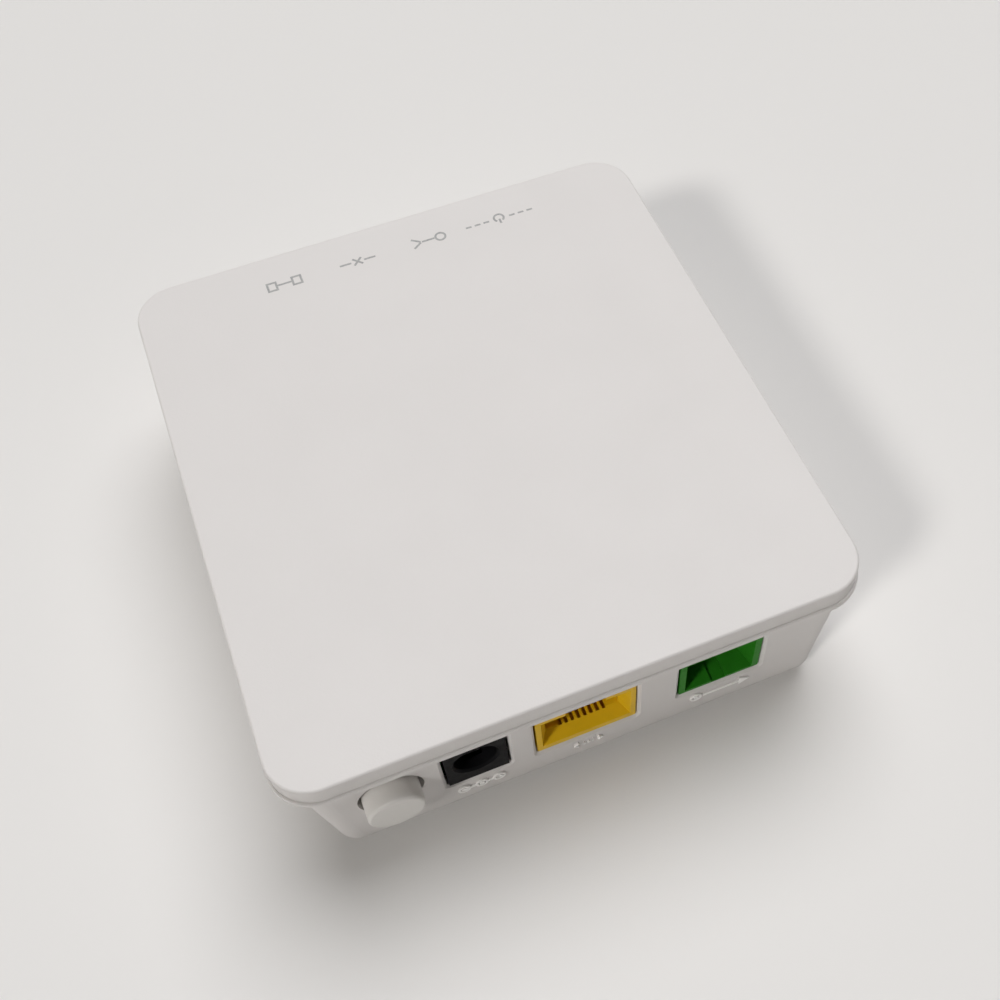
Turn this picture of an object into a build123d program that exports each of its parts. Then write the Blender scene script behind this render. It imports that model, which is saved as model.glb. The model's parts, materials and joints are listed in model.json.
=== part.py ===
from build123d import *
import os

os.makedirs("parts", exist_ok=True)

# Small optical network terminal. +X is to the right seen from the port side, which faces -Y;
# +Z is up; the origin is on the ground under the middle of the whole outline. Millimetres.

# Case
case_width = 90.0
case_depth = 97.5
case_height = 29.0
cover_corner = 6.9
cover_edge_round = 0.45
cover_plate = 1.8
lip_height = 3.5
lip_wall = 2.0
flange_thick = 0.9
flange_proud = 0.4
wall = 2.0
floor_thick = 2.0
port_inset = 1.6
side_inset_top = 1.6
side_inset_bottom = 5.2
base_corner = 4.2
base_bottom_round = 2.0
fit_gap = 0.15
touch_gap = 0.05

# Feet and label
foot_radius = 5.0
foot_proud = 1.4
foot_recess = 0.6
foot_x = 30.0
foot_from_port_face = 10.5
foot_from_back = 16.0
label_width = 44.0
label_depth = 28.0
label_recess = 0.3
label_thick = 0.2
label_y = 15.0
label_corner = 1.5

# Cooling slots underneath and in the side walls, and keyholes for two wall screws
vent_count = 7
vent_length = 34.0
vent_width = 1.6
vent_pitch = 3.6
vent_from_port_face = 26.0
side_vent_count = 10
side_vent_height = 8.0
side_vent_width = 1.5
side_vent_y = 18.0
side_vent_z = 15.5
keyhole_half_pitch = 28.0
keyhole_radius = 3.5
keyhole_slot_length = 6.0
keyhole_slot_width = 3.6
keyhole_y = 11.0

# Power button and its switch
button_x = -30.4
button_z = 15.4
button_radius = 4.3
button_hole_radius = 5.0
button_proud = 3.25
button_travel = 2.2
button_inside = 2.6
button_skin = 1.2
plunger_side = 3.0
plunger_flange = 1.2
plunger_flange_side = 4.6
plunger_depth_in_cap = 0.6
switch_width = 8.4
switch_length = 12.5
switch_height = 10.4
switch_from_port_face = 5.2
switch_wall = 1.2
spring_radius = 1.7
spring_wire = 0.18
spring_turns = 5
switch_pin_half_gap = 2.5
switch_first_pin = 3.5
switch_pin_pitch = 2.5
pin_side = 0.6
pin_below_board = 1.0

# DC power jack
dc_x = -17.4
dc_hole_z = 15.4
dc_width = 9.5
dc_height = 11.3
dc_length = 14.0
dc_recess = 0.1
dc_rise = 0.55
dc_bore_radius = 3.4
dc_bore_depth = 10.0
dc_pin_radius = 1.0
dc_pin_setback = 3.0
dc_window_width = 10.25
dc_window_bottom = 9.3

# LAN jack
lan_x = 0.0
lan_width = 16.0
lan_height = 12.0
lan_length = 16.0
lan_recess = 0.3
lan_mouth_width = 11.9
lan_mouth_height = 6.85
lan_shoulder_z = 18.2
lan_latch_width = 6.4
lan_latch_height = 1.4
lan_tip_width = 3.4
lan_tip_height = 0.5
lan_depth = 12.4
lan_lead_in = 1.2
lan_lead_depth = 2.0
lan_window_width = 16.6
lan_window_bottom = 8.6
contact_count = 8
contact_pitch = 1.016
contact_wire = 0.36
comb_slot = 0.6
comb_from_front = 1.8

# Optical socket and transceiver
optical_x = 22.0
optical_z = 14.5
optical_width = 13.5
optical_height = 9.7
optical_length = 17.0
optical_recess = 0.3
optical_mouth_width = 11.4
optical_mouth_height = 8.6
optical_lead_depth = 4.0
optical_bore_width = 9.4
optical_bore_height = 7.7
optical_back_wall = 2.6
optical_key_width = 2.4
optical_key_depth = 6.0
optical_key_drop = 0.7
optical_window_width = 14.06
optical_window_height = 10.2
ferrule_radius = 1.26
sleeve_radius = 1.65
sleeve_length = 7.0
nose_radius = 2.3
nose_setback = 6.0
transceiver_side = 7.6
transceiver_length = 9.0
can_radius = 2.4
can_length = 3.6
can_rim_radius = 2.75
can_rim = 0.8

# Windows in the port face; the cover's lip hides the tops of two of them
window_top = 21.2
window_round = 0.6
window_bevel = 0.45

# Circuit board
board_top = 8.9
board_thick = 1.6
board_side_gap = 0.6
board_front_gap = 0.5
board_back_gap = 2.6
board_corner = 3.0
standoff_radius = 2.5
board_screw_radius = 0.95
board_screw_head_radius = 1.9
board_screw_head = 1.3
board_screw_length = 4.2
board_screw_slot = 2.0
board_screw_slot_width = 0.45
board_screw_slot_depth = 0.7
board_screw_from_side = 3.9
board_screw_from_back = 7.0
screw_gap = 0.05

# Case screws, under the rear feet
case_boss_radius = 3.6
case_boss_split = 11.0
case_screw_radius = 1.1
case_screw_length = 12.0
case_screw_head_radius = 2.3
case_screw_head = 1.5
case_counterbore_radius = 2.6
case_counterbore_top = 4.6
case_screw_slot = 2.6
case_screw_slot_width = 0.6
case_screw_slot_depth = 0.8

# Tongue and snap hooks of the cover
tongue_drop = 2.0
tongue_thick = 1.2
hook_width = 6.0
hook_thick = 1.3
hook_bottom = 17.0
hook_catch = 0.7
hook_catch_top = 20.0
hook_from_port_face = 16.0

# Indicators
indicator_pitch = 13.1
indicator_names = ["lan", "los", "pon", "power"]
indicator_window_width = 3.2
indicator_window_height = 1.1
indicator_window_z = 26.35
led_width = 1.6
led_depth = 0.9
led_height = 0.8
led_from_board_edge = 1.8
guide_gap = 0.05
guide_above_led = 0.4
guide_width = 2.6
guide_stem = 2.0
guide_boss_radius = 1.7
guide_peg_hole_radius = 0.8
guide_boss_height = 3.2

# Ribs under the cover's plate
rib_height = 1.2
rib_width = 1.0
rib_pitch = 26.0

# Parts on the board
front_rest_pitch = 24.0
inductor_side = 5.0
inductor_height = 2.8
passive_length = 1.1
passive_width = 0.6
passive_height = 0.55
passive_row_pitch = 2.4
passive_column_pitch = 1.8
pad_side = 14.0
pad_thick = 0.5
sink_side = 19.0
sink_base = 1.5
sink_fin_height = 5.5
sink_fin_count = 7
sink_fin_pitch = 2.6
sink_fin = 0.9
shield_side = 13.0
shield_height = 2.6
shield_sheet = 0.25
shield_hole_radius = 0.5
shield_hole_pitch = 3.0

# Reset switch
reset_y = -6.0
reset_hole_radius = 0.8
reset_body_width = 6.0
reset_body_depth = 3.6
reset_body_height = 3.5
reset_rise = 1.9
reset_plunger_radius = 0.7
reset_plunger_proud = 1.0
reset_travel = 0.25

# Raised marks on the port face
mark_height = 2.0
mark_raise = 0.35
mark_line = 0.35
mark_below_dc = 2.4
mark_below_lan = 1.9
mark_below_optical = 2.0
mark_below_button = 3.0
polarity_pitch = 2.8

# Places that follow from the sizes above
case_y = (button_proud - port_inset - flange_proud) / 2
cover_front = case_y - case_depth / 2
cover_back = case_y + case_depth / 2
port_face = cover_front + port_inset
port_inner = port_face + wall
rim_top = case_height - lip_height
rim_bottom = rim_top - flange_thick
base_bottom = foot_proud
base_floor = base_bottom + floor_thick
cover_ceiling = case_height - cover_plate
board_bottom = board_top - board_thick
foot_front_y = port_face + foot_from_port_face
foot_back_y = cover_back - foot_from_back


def side_inset(z):
    """How far the tapered base stands in from the cover's sides and back at a height."""
    share = (rim_bottom - z) / (rim_bottom - base_bottom)
    return side_inset_top + (side_inset_bottom - side_inset_top) * share


def base_section(z, inwards=0.0):
    """Width, depth and middle Y of the base's outline at a height, set in by a distance."""
    inset = side_inset(z) + inwards
    front = port_face + inwards
    back = cover_back - inset
    return case_width - 2 * inset, back - front, (front + back) / 2


def across(y):
    """Plane across the case at a depth: local x is X, local y is Z, and it faces the port side."""
    return Plane.XZ.offset(-y)


board_width = base_section(board_bottom, wall + board_side_gap)[0]
board_front = port_inner + board_front_gap
board_back = cover_back - side_inset(board_bottom) - wall - board_back_gap
board_depth = board_back - board_front
board_y = (board_front + board_back) / 2

board_screw_x = board_width / 2 - board_screw_from_side
board_screw_places = [
    (-board_screw_x, port_face + 24.5),
    (board_screw_x, port_face + 12.5),
    (0.0, board_back - board_screw_from_back),
]
case_screw_places = [(-foot_x, foot_back_y), (foot_x, foot_back_y)]
indicator_xs = [(index - 1.5) * indicator_pitch for index in range(4)]
indicator_y = board_back - led_from_board_edge

# Connectors on the board
switch_front = port_face + switch_from_port_face
switch_back = switch_front + switch_length
switch_pin_xs = (button_x - switch_pin_half_gap, button_x + switch_pin_half_gap)
switch_pin_ys = [switch_front + switch_first_pin + switch_pin_pitch * row for row in range(3)]

dc_front = port_face + dc_recess
dc_back = dc_front + dc_length
dc_bottom = board_top + dc_rise
dc_tail_ys = (dc_front + 8.0, dc_back - 0.7)

lan_front = port_face + lan_recess
lan_back = lan_front + lan_length
lan_floor = lan_shoulder_z - lan_mouth_height
lan_contact_xs = [
    lan_x + (index - (contact_count - 1) / 2) * contact_pitch
    for index in range(contact_count)
]
lan_tail_ys = [lan_back - 3.2 + 1.8 * (index % 2) for index in range(contact_count)]
lan_peg_x = 5.7
lan_peg_y = lan_front + 8.0
lan_peg_radius = 1.5

optical_front = port_face + optical_recess
optical_back = optical_front + optical_length
optical_peg_x = 5.2
optical_peg_radius = 0.8
optical_peg_y = optical_front + 11.0
transceiver_back = optical_back + transceiver_length
photodiode_y = optical_back + transceiver_length / 2
photodiode_face = optical_x + transceiver_side / 2
lead_radius = 0.22

# Base shell
with BuildPart() as base_shell:
    for z, corner in ((base_bottom, base_corner - 0.5), (rim_bottom, base_corner)):
        width, depth, middle = base_section(z)
        with BuildSketch(Plane.XY.offset(z)):
            with Locations((0, middle)):
                RectangleRounded(width, depth, corner)
    loft()
    fillet(base_shell.edges().group_by(Axis.Z)[0], base_bottom_round)
    with BuildSketch(Plane.XY.offset(rim_bottom)):
        with Locations((0, case_y)):
            RectangleRounded(
                case_width + 2 * flange_proud,
                case_depth + 2 * flange_proud,
                cover_corner + flange_proud,
            )
    extrude(amount=flange_thick)
    fillet(base_shell.edges().group_by(Axis.Z)[-1], flange_thick / 3)
    for z, corner in ((base_floor, base_corner - wall), (rim_top, base_corner - wall)):
        width, depth, middle = base_section(z, wall)
        with BuildSketch(Plane.XY.offset(z)):
            with Locations((0, middle)):
                RectangleRounded(width, depth, corner)
    loft(mode=Mode.SUBTRACT)
    # Columns for the case screws and the circuit board
    with BuildSketch(Plane.XY.offset(base_floor)):
        with Locations(*case_screw_places):
            Circle(case_boss_radius)
    extrude(amount=case_boss_split - base_floor)
    with BuildSketch(Plane.XY.offset(base_floor)):
        with Locations(*board_screw_places):
            Circle(standoff_radius)
    extrude(amount=board_bottom - base_floor)
    with BuildSketch(Plane.XY.offset(base_floor + 0.6)):
        with Locations(*board_screw_places):
            Circle(board_screw_radius + screw_gap)
    extrude(amount=board_bottom - base_floor, mode=Mode.SUBTRACT)
    # Rests under the front edge of the board
    with BuildSketch(Plane.XY.offset(base_floor)):
        with GridLocations(front_rest_pitch, 0, 2, 1):
            with Locations((0, board_front + 1.2)):
                Rectangle(4.0, 3.4)
    extrude(amount=board_bottom - base_floor)
    # Openings in the port face
    with BuildSketch(across(port_face)):
        with Locations((button_x, button_z)):
            Circle(button_hole_radius)
        with Locations((dc_x, (dc_window_bottom + window_top) / 2)):
            RectangleRounded(dc_window_width, window_top - dc_window_bottom, window_round)
        with Locations((lan_x, (lan_window_bottom + window_top) / 2)):
            RectangleRounded(lan_window_width, window_top - lan_window_bottom, window_round)
        with Locations((optical_x, optical_z)):
            RectangleRounded(optical_window_width, optical_window_height, window_round)
    extrude(amount=-wall, mode=Mode.SUBTRACT)
    with BuildSketch(across(port_face)):
        with Locations((dc_x, (dc_window_bottom + window_top) / 2)):
            RectangleRounded(
                dc_window_width + 2 * window_bevel,
                window_top - dc_window_bottom + 2 * window_bevel,
                window_round + window_bevel,
            )
        with Locations((lan_x, (lan_window_bottom + window_top) / 2)):
            RectangleRounded(
                lan_window_width + 2 * window_bevel,
                window_top - lan_window_bottom + 2 * window_bevel,
                window_round + window_bevel,
            )
        with Locations((optical_x, optical_z)):
            RectangleRounded(
                optical_window_width + 2 * window_bevel,
                optical_window_height + 2 * window_bevel,
                window_round + window_bevel,
            )
    extrude(amount=-window_bevel, taper=45, mode=Mode.SUBTRACT)
    # Feet recesses, screw holes and label recess underneath
    with BuildSketch(Plane.XY.offset(base_bottom)):
        with Locations((-foot_x, foot_front_y), (foot_x, foot_front_y), *case_screw_places):
            Circle(foot_radius + fit_gap)
    extrude(amount=foot_recess, mode=Mode.SUBTRACT)
    with BuildSketch(Plane.XY.offset(base_bottom)):
        with Locations((0, label_y)):
            RectangleRounded(
                label_width + 2 * fit_gap, label_depth + 2 * fit_gap, label_corner + fit_gap
            )
    extrude(amount=label_recess, mode=Mode.SUBTRACT)
    with BuildSketch(Plane.XY.offset(base_bottom)):
        with Locations(*case_screw_places):
            Circle(case_counterbore_radius)
    extrude(amount=case_counterbore_top - base_bottom, mode=Mode.SUBTRACT)
    with BuildSketch(Plane.XY.offset(base_bottom)):
        with Locations(*case_screw_places):
            Circle(case_screw_radius + fit_gap)
    extrude(amount=case_boss_split - base_bottom, mode=Mode.SUBTRACT)
    # Cooling slots underneath, and in both side walls
    with BuildSketch(Plane.XY.offset(base_bottom)):
        with Locations((0, port_face + vent_from_port_face)):
            with GridLocations(0, vent_pitch, 1, vent_count):
                SlotOverall(vent_length, vent_width)
    extrude(amount=floor_thick, mode=Mode.SUBTRACT)
    with BuildSketch(Plane.YZ):
        with Locations((case_y + side_vent_y, side_vent_z)):
            with GridLocations(vent_pitch, 0, side_vent_count, 1):
                SlotOverall(side_vent_height, side_vent_width, rotation=90)
    extrude(amount=case_width / 2, both=True, mode=Mode.SUBTRACT)
    # Keyholes for two wall screws
    with BuildSketch(Plane.XY.offset(base_bottom)):
        with GridLocations(2 * keyhole_half_pitch, 0, 2, 1):
            with Locations((0, keyhole_y)):
                Circle(keyhole_radius)
            with Locations((0, keyhole_y + keyhole_slot_length / 2)):
                SlotCenterToCenter(keyhole_slot_length, keyhole_slot_width, rotation=90)
    extrude(amount=floor_thick, mode=Mode.SUBTRACT)
    # Pinhole for the reset switch
    with BuildSketch(Plane.YZ):
        with Locations((reset_y, board_top + reset_rise)):
            Circle(reset_hole_radius)
    extrude(amount=-case_width / 2, mode=Mode.SUBTRACT)
    # Pockets that the cover's hooks catch in
    hook_pocket_top = hook_catch_top + fit_gap
    hook_pocket_x = case_width / 2 - side_inset(hook_catch_top) - wall + hook_catch
    with BuildSketch(Plane.XY.offset(hook_bottom - 0.2)):
        with Locations((0, port_face + hook_from_port_face)):
            Rectangle(2 * hook_pocket_x, hook_width + 4 * fit_gap)
    extrude(amount=hook_pocket_top - hook_bottom + 0.2, mode=Mode.SUBTRACT)
    # Raised marks: polarity under the power jack, arrows under the LAN jack, a beam under
    # the optical socket, and a circle with a bar under the button
    with BuildSketch(across(port_face)):
        with Locations((dc_x, dc_window_bottom - mark_below_dc)):
            with GridLocations(polarity_pitch, 0, 3, 1):
                Circle(mark_height / 2)
            with GridLocations(polarity_pitch, 0, 3, 1):
                Circle(mark_height / 2 - mark_line, mode=Mode.SUBTRACT)
            with Locations((-polarity_pitch, 0), (polarity_pitch, 0)):
                Rectangle(mark_height / 2, mark_line)
            Circle(mark_height / 5)
            with GridLocations(polarity_pitch, 0, 2, 1):
                Rectangle(polarity_pitch - mark_height + mark_line, mark_line)
            with Locations((polarity_pitch, 0)):
                Rectangle(mark_line, mark_height / 2)
    extrude(amount=mark_raise)
    with BuildSketch(across(port_face)):
        with Locations((lan_x, lan_window_bottom - mark_below_lan)):
            with GridLocations(0.8, 0, 3, 1):
                Circle(mark_line * 0.7)
            with Locations((-1.7, 0), (1.7, 0)):
                Rectangle(mark_height / 2, mark_height / 2, rotation=45)
            with Locations((-1.3, 0), (1.3, 0)):
                Rectangle(mark_height / 2, mark_height / 2, rotation=45, mode=Mode.SUBTRACT)
    extrude(amount=mark_raise)
    with BuildSketch(across(port_face)):
        with Locations((optical_x, optical_z - optical_window_height / 2 - mark_below_optical)):
            with Locations((-3.9, 0)):
                Circle(mark_height / 2)
                Circle(mark_height / 2 - mark_line, mode=Mode.SUBTRACT)
                Circle(mark_height / 5)
            with Locations((0.4, 0)):
                Rectangle(6.2, mark_line)
            with Locations((4.1, 0)):
                Triangle(a=mark_height, b=mark_height, c=mark_height, rotation=-90)
    extrude(amount=mark_raise)
    with BuildSketch(across(port_face)):
        with Locations((button_x, button_z - button_hole_radius - mark_below_button)):
            Circle(mark_height / 2)
            Circle(mark_height / 2 - mark_line, mode=Mode.SUBTRACT)
            with Locations((0, mark_height / 2)):
                Rectangle(3 * mark_line, mark_height / 2, mode=Mode.SUBTRACT)
            with Locations((0, mark_height / 3)):
                Rectangle(mark_line, mark_height * 2 / 3)
    extrude(amount=mark_raise)
base_shell.part.label = "base_shell"
export_step(base_shell.part, "parts/base_shell.step")

# Top cover
tongue_bottom = rim_top - tongue_drop
hook_y = port_face + hook_from_port_face
hook_outer = case_width / 2 - side_inset(hook_bottom) - wall - fit_gap

with BuildPart() as top_cover:
    with BuildSketch(Plane.XY.offset(rim_top)):
        with Locations((0, case_y)):
            RectangleRounded(case_width, case_depth, cover_corner)
    extrude(amount=lip_height)
    fillet(top_cover.edges().group_by(Axis.Z)[-1], cover_edge_round)
    with BuildSketch(Plane.XY.offset(rim_top)):
        with Locations((0, case_y)):
            RectangleRounded(
                case_width - 2 * lip_wall, case_depth - 2 * lip_wall, cover_corner - lip_wall
            )
    extrude(amount=cover_ceiling - rim_top, mode=Mode.SUBTRACT)
    # Tongue that drops inside the base's wall
    tongue_width, tongue_depth, tongue_y = base_section(tongue_bottom, wall + fit_gap)
    tongue_corner = base_corner - wall - fit_gap
    with BuildSketch(Plane.XY.offset(tongue_bottom)):
        with Locations((0, tongue_y)):
            RectangleRounded(tongue_width, tongue_depth, tongue_corner)
            RectangleRounded(
                tongue_width - 2 * tongue_thick,
                tongue_depth - 2 * tongue_thick,
                tongue_corner - tongue_thick,
                mode=Mode.SUBTRACT,
            )
    extrude(amount=cover_ceiling - tongue_bottom)
    with BuildSketch(Plane.XY.offset(tongue_bottom)):
        with Locations(*[(x, cover_back - lip_wall - 4.0) for x in indicator_xs]):
            Rectangle(guide_width + 1.2, 8.0)
    extrude(amount=cover_ceiling - tongue_bottom, mode=Mode.SUBTRACT)
    # Windows of the four indicators, in the lip
    with BuildSketch(across(cover_back + 1.0)):
        with Locations(*[(x, indicator_window_z) for x in indicator_xs]):
            RectangleRounded(
                indicator_window_width, indicator_window_height, indicator_window_height / 3
            )
    extrude(amount=lip_wall + 2.0, mode=Mode.SUBTRACT)
    # Screw columns
    with BuildSketch(Plane.XY.offset(case_boss_split + touch_gap)):
        with Locations(*case_screw_places):
            Circle(case_boss_radius - 0.4)
    extrude(amount=cover_ceiling - case_boss_split - touch_gap)
    with BuildSketch(Plane.XY.offset(case_boss_split + touch_gap)):
        with Locations(*case_screw_places):
            Circle(case_screw_radius + screw_gap)
    extrude(amount=case_screw_length - 4.0, mode=Mode.SUBTRACT)
    # Bosses that hold the light guide
    with BuildSketch(Plane.XY.offset(cover_ceiling - guide_boss_height)):
        with GridLocations(2 * indicator_pitch, 0, 2, 1):
            with Locations((0, indicator_y)):
                Circle(guide_boss_radius)
                Circle(guide_peg_hole_radius, mode=Mode.SUBTRACT)
    extrude(amount=guide_boss_height)
    # Stiffening ribs under the plate
    with BuildSketch(Plane.XY.offset(cover_ceiling - rib_height)):
        with Locations((0, case_y)):
            with GridLocations(0, rib_pitch, 1, 3):
                Rectangle(tongue_width - tongue_thick, rib_width)
    extrude(amount=rib_height)
    # Snap hooks
    for side in (-1, 1):
        with BuildSketch(across(hook_y - hook_width / 2)):
            with BuildLine():
                Polyline(
                    (side * (hook_outer - hook_thick), cover_ceiling),
                    (side * (hook_outer - hook_thick), hook_bottom),
                    (side * hook_outer, hook_bottom),
                    (side * (hook_outer + hook_catch), hook_catch_top - 0.6),
                    (side * (hook_outer + hook_catch), hook_catch_top),
                    (side * hook_outer, hook_catch_top),
                    (side * hook_outer, cover_ceiling),
                    close=True,
                )
            make_face()
        extrude(amount=-hook_width)
top_cover.part.label = "top_cover"
export_step(top_cover.part, "parts/top_cover.step")

# Feet, label and screws
foot_places = {
    "front_left": (-foot_x, foot_front_y),
    "front_right": (foot_x, foot_front_y),
    "rear_left": (-foot_x, foot_back_y),
    "rear_right": (foot_x, foot_back_y),
}
for place, (x, y) in foot_places.items():
    with BuildPart() as foot:
        with BuildSketch():
            with Locations((x, y)):
                Circle(foot_radius)
        extrude(amount=foot_proud + foot_recess)
        fillet(foot.edges().group_by(Axis.Z)[0], 0.4)
    foot.part.label = f"foot_{place}"
    export_step(foot.part, f"parts/foot_{place}.step")

with BuildPart() as rating_label:
    with BuildSketch(Plane.XY.offset(base_bottom + label_recess)):
        with Locations((0, label_y)):
            RectangleRounded(label_width, label_depth, label_corner)
    extrude(amount=-label_thick)
rating_label.part.label = "rating_label"
export_step(rating_label.part, "parts/rating_label.step")

with BuildPart() as case_screws:
    with BuildSketch(Plane.XY.offset(case_counterbore_top)):
        with Locations(*case_screw_places):
            Circle(case_screw_head_radius)
    extrude(amount=-case_screw_head)
    with BuildSketch(Plane.XY.offset(case_counterbore_top)):
        with Locations(*case_screw_places):
            Circle(case_screw_radius)
    extrude(amount=case_screw_length)
    with BuildSketch(Plane.XY.offset(case_counterbore_top - case_screw_head)):
        with Locations(*case_screw_places):
            Rectangle(case_screw_slot, case_screw_slot_width)
            Rectangle(case_screw_slot_width, case_screw_slot)
    extrude(amount=case_screw_slot_depth, mode=Mode.SUBTRACT)
case_screws.part.label = "case_screws"
export_step(case_screws.part, "parts/case_screws.step")

# Circuit board and its screws
with BuildPart() as circuit_board:
    with BuildSketch(Plane.XY.offset(board_bottom)):
        with Locations((0, board_y)):
            RectangleRounded(board_width, board_depth, board_corner)
        with Locations(*case_screw_places):
            Circle(case_boss_radius + 0.6, mode=Mode.SUBTRACT)
        with Locations(*board_screw_places):
            Circle(board_screw_radius + 0.3, mode=Mode.SUBTRACT)
        with Locations(*[(x, y) for x in switch_pin_xs for y in switch_pin_ys]):
            Circle(pin_side, mode=Mode.SUBTRACT)
        with Locations(*zip(lan_contact_xs, lan_tail_ys)):
            Circle(contact_wire, mode=Mode.SUBTRACT)
        with Locations((lan_x - lan_peg_x, lan_peg_y), (lan_x + lan_peg_x, lan_peg_y)):
            Circle(lan_peg_radius + fit_gap, mode=Mode.SUBTRACT)
        with Locations(*[(dc_x, y) for y in dc_tail_ys]):
            SlotOverall(3.4, 1.0, mode=Mode.SUBTRACT)
        with Locations(
            (optical_x - optical_peg_x, optical_peg_y), (optical_x + optical_peg_x, optical_peg_y)
        ):
            Circle(optical_peg_radius + fit_gap, mode=Mode.SUBTRACT)
    extrude(amount=board_thick)
circuit_board.part.label = "circuit_board"
export_step(circuit_board.part, "parts/circuit_board.step")

with BuildPart() as board_screws:
    with BuildSketch(Plane.XY.offset(board_top)):
        with Locations(*board_screw_places):
            Circle(board_screw_head_radius)
    extrude(amount=board_screw_head)
    fillet(board_screws.edges().group_by(Axis.Z)[-1], 0.5)
    with BuildSketch(Plane.XY.offset(board_top)):
        with Locations(*board_screw_places):
            Circle(board_screw_radius)
    extrude(amount=-board_screw_length)
    with BuildSketch(Plane.XY.offset(board_top + board_screw_head)):
        with Locations(*board_screw_places):
            Rectangle(board_screw_slot, board_screw_slot_width)
            Rectangle(board_screw_slot_width, board_screw_slot)
    extrude(amount=-board_screw_slot_depth, mode=Mode.SUBTRACT)
board_screws.part.label = "board_screws"
export_step(board_screws.part, "parts/board_screws.step")

# Power button and switch
button_tip = port_face - button_proud
plunger_tip = button_tip + button_skin + plunger_depth_in_cap
plunger_flange_front = switch_front + switch_wall + touch_gap
plunger_flange_back = plunger_flange_front + plunger_flange
spring_back = switch_back - switch_wall
plunger_tail = button_travel + 2.0

with BuildPart() as power_button:
    with BuildSketch(across(button_tip)):
        with Locations((button_x, button_z)):
            Circle(button_radius)
    extrude(amount=-(button_proud + button_inside))
    fillet(power_button.edges().group_by(Axis.Y)[0], 0.5)
    # Hollow behind the face, with a square socket for the switch's plunger
    with BuildSketch(across(port_face + button_inside)):
        with Locations((button_x, button_z)):
            Circle(button_radius - button_skin)
            Rectangle(plunger_side + 2.0, plunger_side + 2.0, mode=Mode.SUBTRACT)
    extrude(amount=button_proud + button_inside - 2 * button_skin, mode=Mode.SUBTRACT)
    with BuildSketch(across(port_face + button_inside)):
        with Locations((button_x, button_z)):
            Rectangle(plunger_side + 2 * touch_gap, plunger_side + 2 * touch_gap)
    extrude(amount=port_face + button_inside - plunger_tip, mode=Mode.SUBTRACT)
power_button.part.label = "power_button"
export_step(power_button.part, "parts/power_button.step")

with BuildPart() as power_switch_body:
    with BuildSketch(across(switch_front)):
        with Locations((button_x, board_top + switch_height / 2)):
            Rectangle(switch_width, switch_height)
    extrude(amount=-switch_length)
    chamfer(power_switch_body.edges().filter_by(Axis.Y).group_by(Axis.Z)[-1], 0.5)
    with BuildSketch(across(switch_front + switch_wall)):
        with Locations((button_x, button_z)):
            Rectangle(plunger_flange_side + 0.4, plunger_flange_side + 0.4)
    extrude(amount=-(switch_length - 2 * switch_wall), mode=Mode.SUBTRACT)
    with BuildSketch(across(switch_front)):
        with Locations((button_x, button_z)):
            Rectangle(plunger_side + 2 * touch_gap, plunger_side + 2 * touch_gap)
    extrude(amount=-switch_wall, mode=Mode.SUBTRACT)
power_switch_body.part.label = "power_switch_body"
export_step(power_switch_body.part, "parts/power_switch_body.step")

with BuildPart() as power_switch_plunger:
    with BuildSketch(across(plunger_tip)):
        with Locations((button_x, button_z)):
            Rectangle(plunger_side, plunger_side)
    extrude(amount=-(plunger_flange_front - plunger_tip))
    chamfer(power_switch_plunger.edges().group_by(Axis.Y)[0], 0.3)
    with BuildSketch(across(plunger_flange_front)):
        with Locations((button_x, button_z)):
            Rectangle(plunger_flange_side, plunger_flange_side)
    extrude(amount=-plunger_flange)
    with BuildSketch(across(plunger_flange_back)):
        with Locations((button_x, button_z)):
            Circle(spring_radius - spring_wire - 0.3)
    extrude(amount=-plunger_tail)
power_switch_plunger.part.label = "power_switch_plunger"
export_step(power_switch_plunger.part, "parts/power_switch_plunger.step")

spring_start = plunger_flange_back + spring_wire + touch_gap
spring_end = spring_back - spring_wire - touch_gap
with BuildPart() as power_switch_spring:
    with BuildLine():
        coil = Helix(
            pitch=(spring_end - spring_start) / spring_turns,
            height=spring_end - spring_start,
            radius=spring_radius,
            center=(button_x, spring_start, button_z),
            direction=(0, 1, 0),
        )
    with BuildSketch(Plane(origin=coil @ 0, z_dir=coil % 0)):
        Circle(spring_wire)
    sweep(path=coil, is_frenet=True)
power_switch_spring.part.label = "power_switch_spring"
export_step(power_switch_spring.part, "parts/power_switch_spring.step")

with BuildPart() as power_switch_pins:
    with BuildSketch(Plane.XY.offset(board_bottom - pin_below_board)):
        with Locations(*[(x, y) for x in switch_pin_xs for y in switch_pin_ys]):
            Rectangle(pin_side, pin_side)
    extrude(amount=board_thick + pin_below_board)
power_switch_pins.part.label = "power_switch_pins"
export_step(power_switch_pins.part, "parts/power_switch_pins.step")

# DC jack
dc_pin_tip = dc_front + dc_pin_setback
dc_bore_end = dc_front + dc_bore_depth
dc_pin_shoulder = dc_pin_radius + 0.4
dc_leaf_thick = 0.4
dc_leaf_width = 2.4
dc_leaf_z = dc_hole_z - dc_bore_radius - 1.0
dc_tail_width = 2.4

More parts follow.
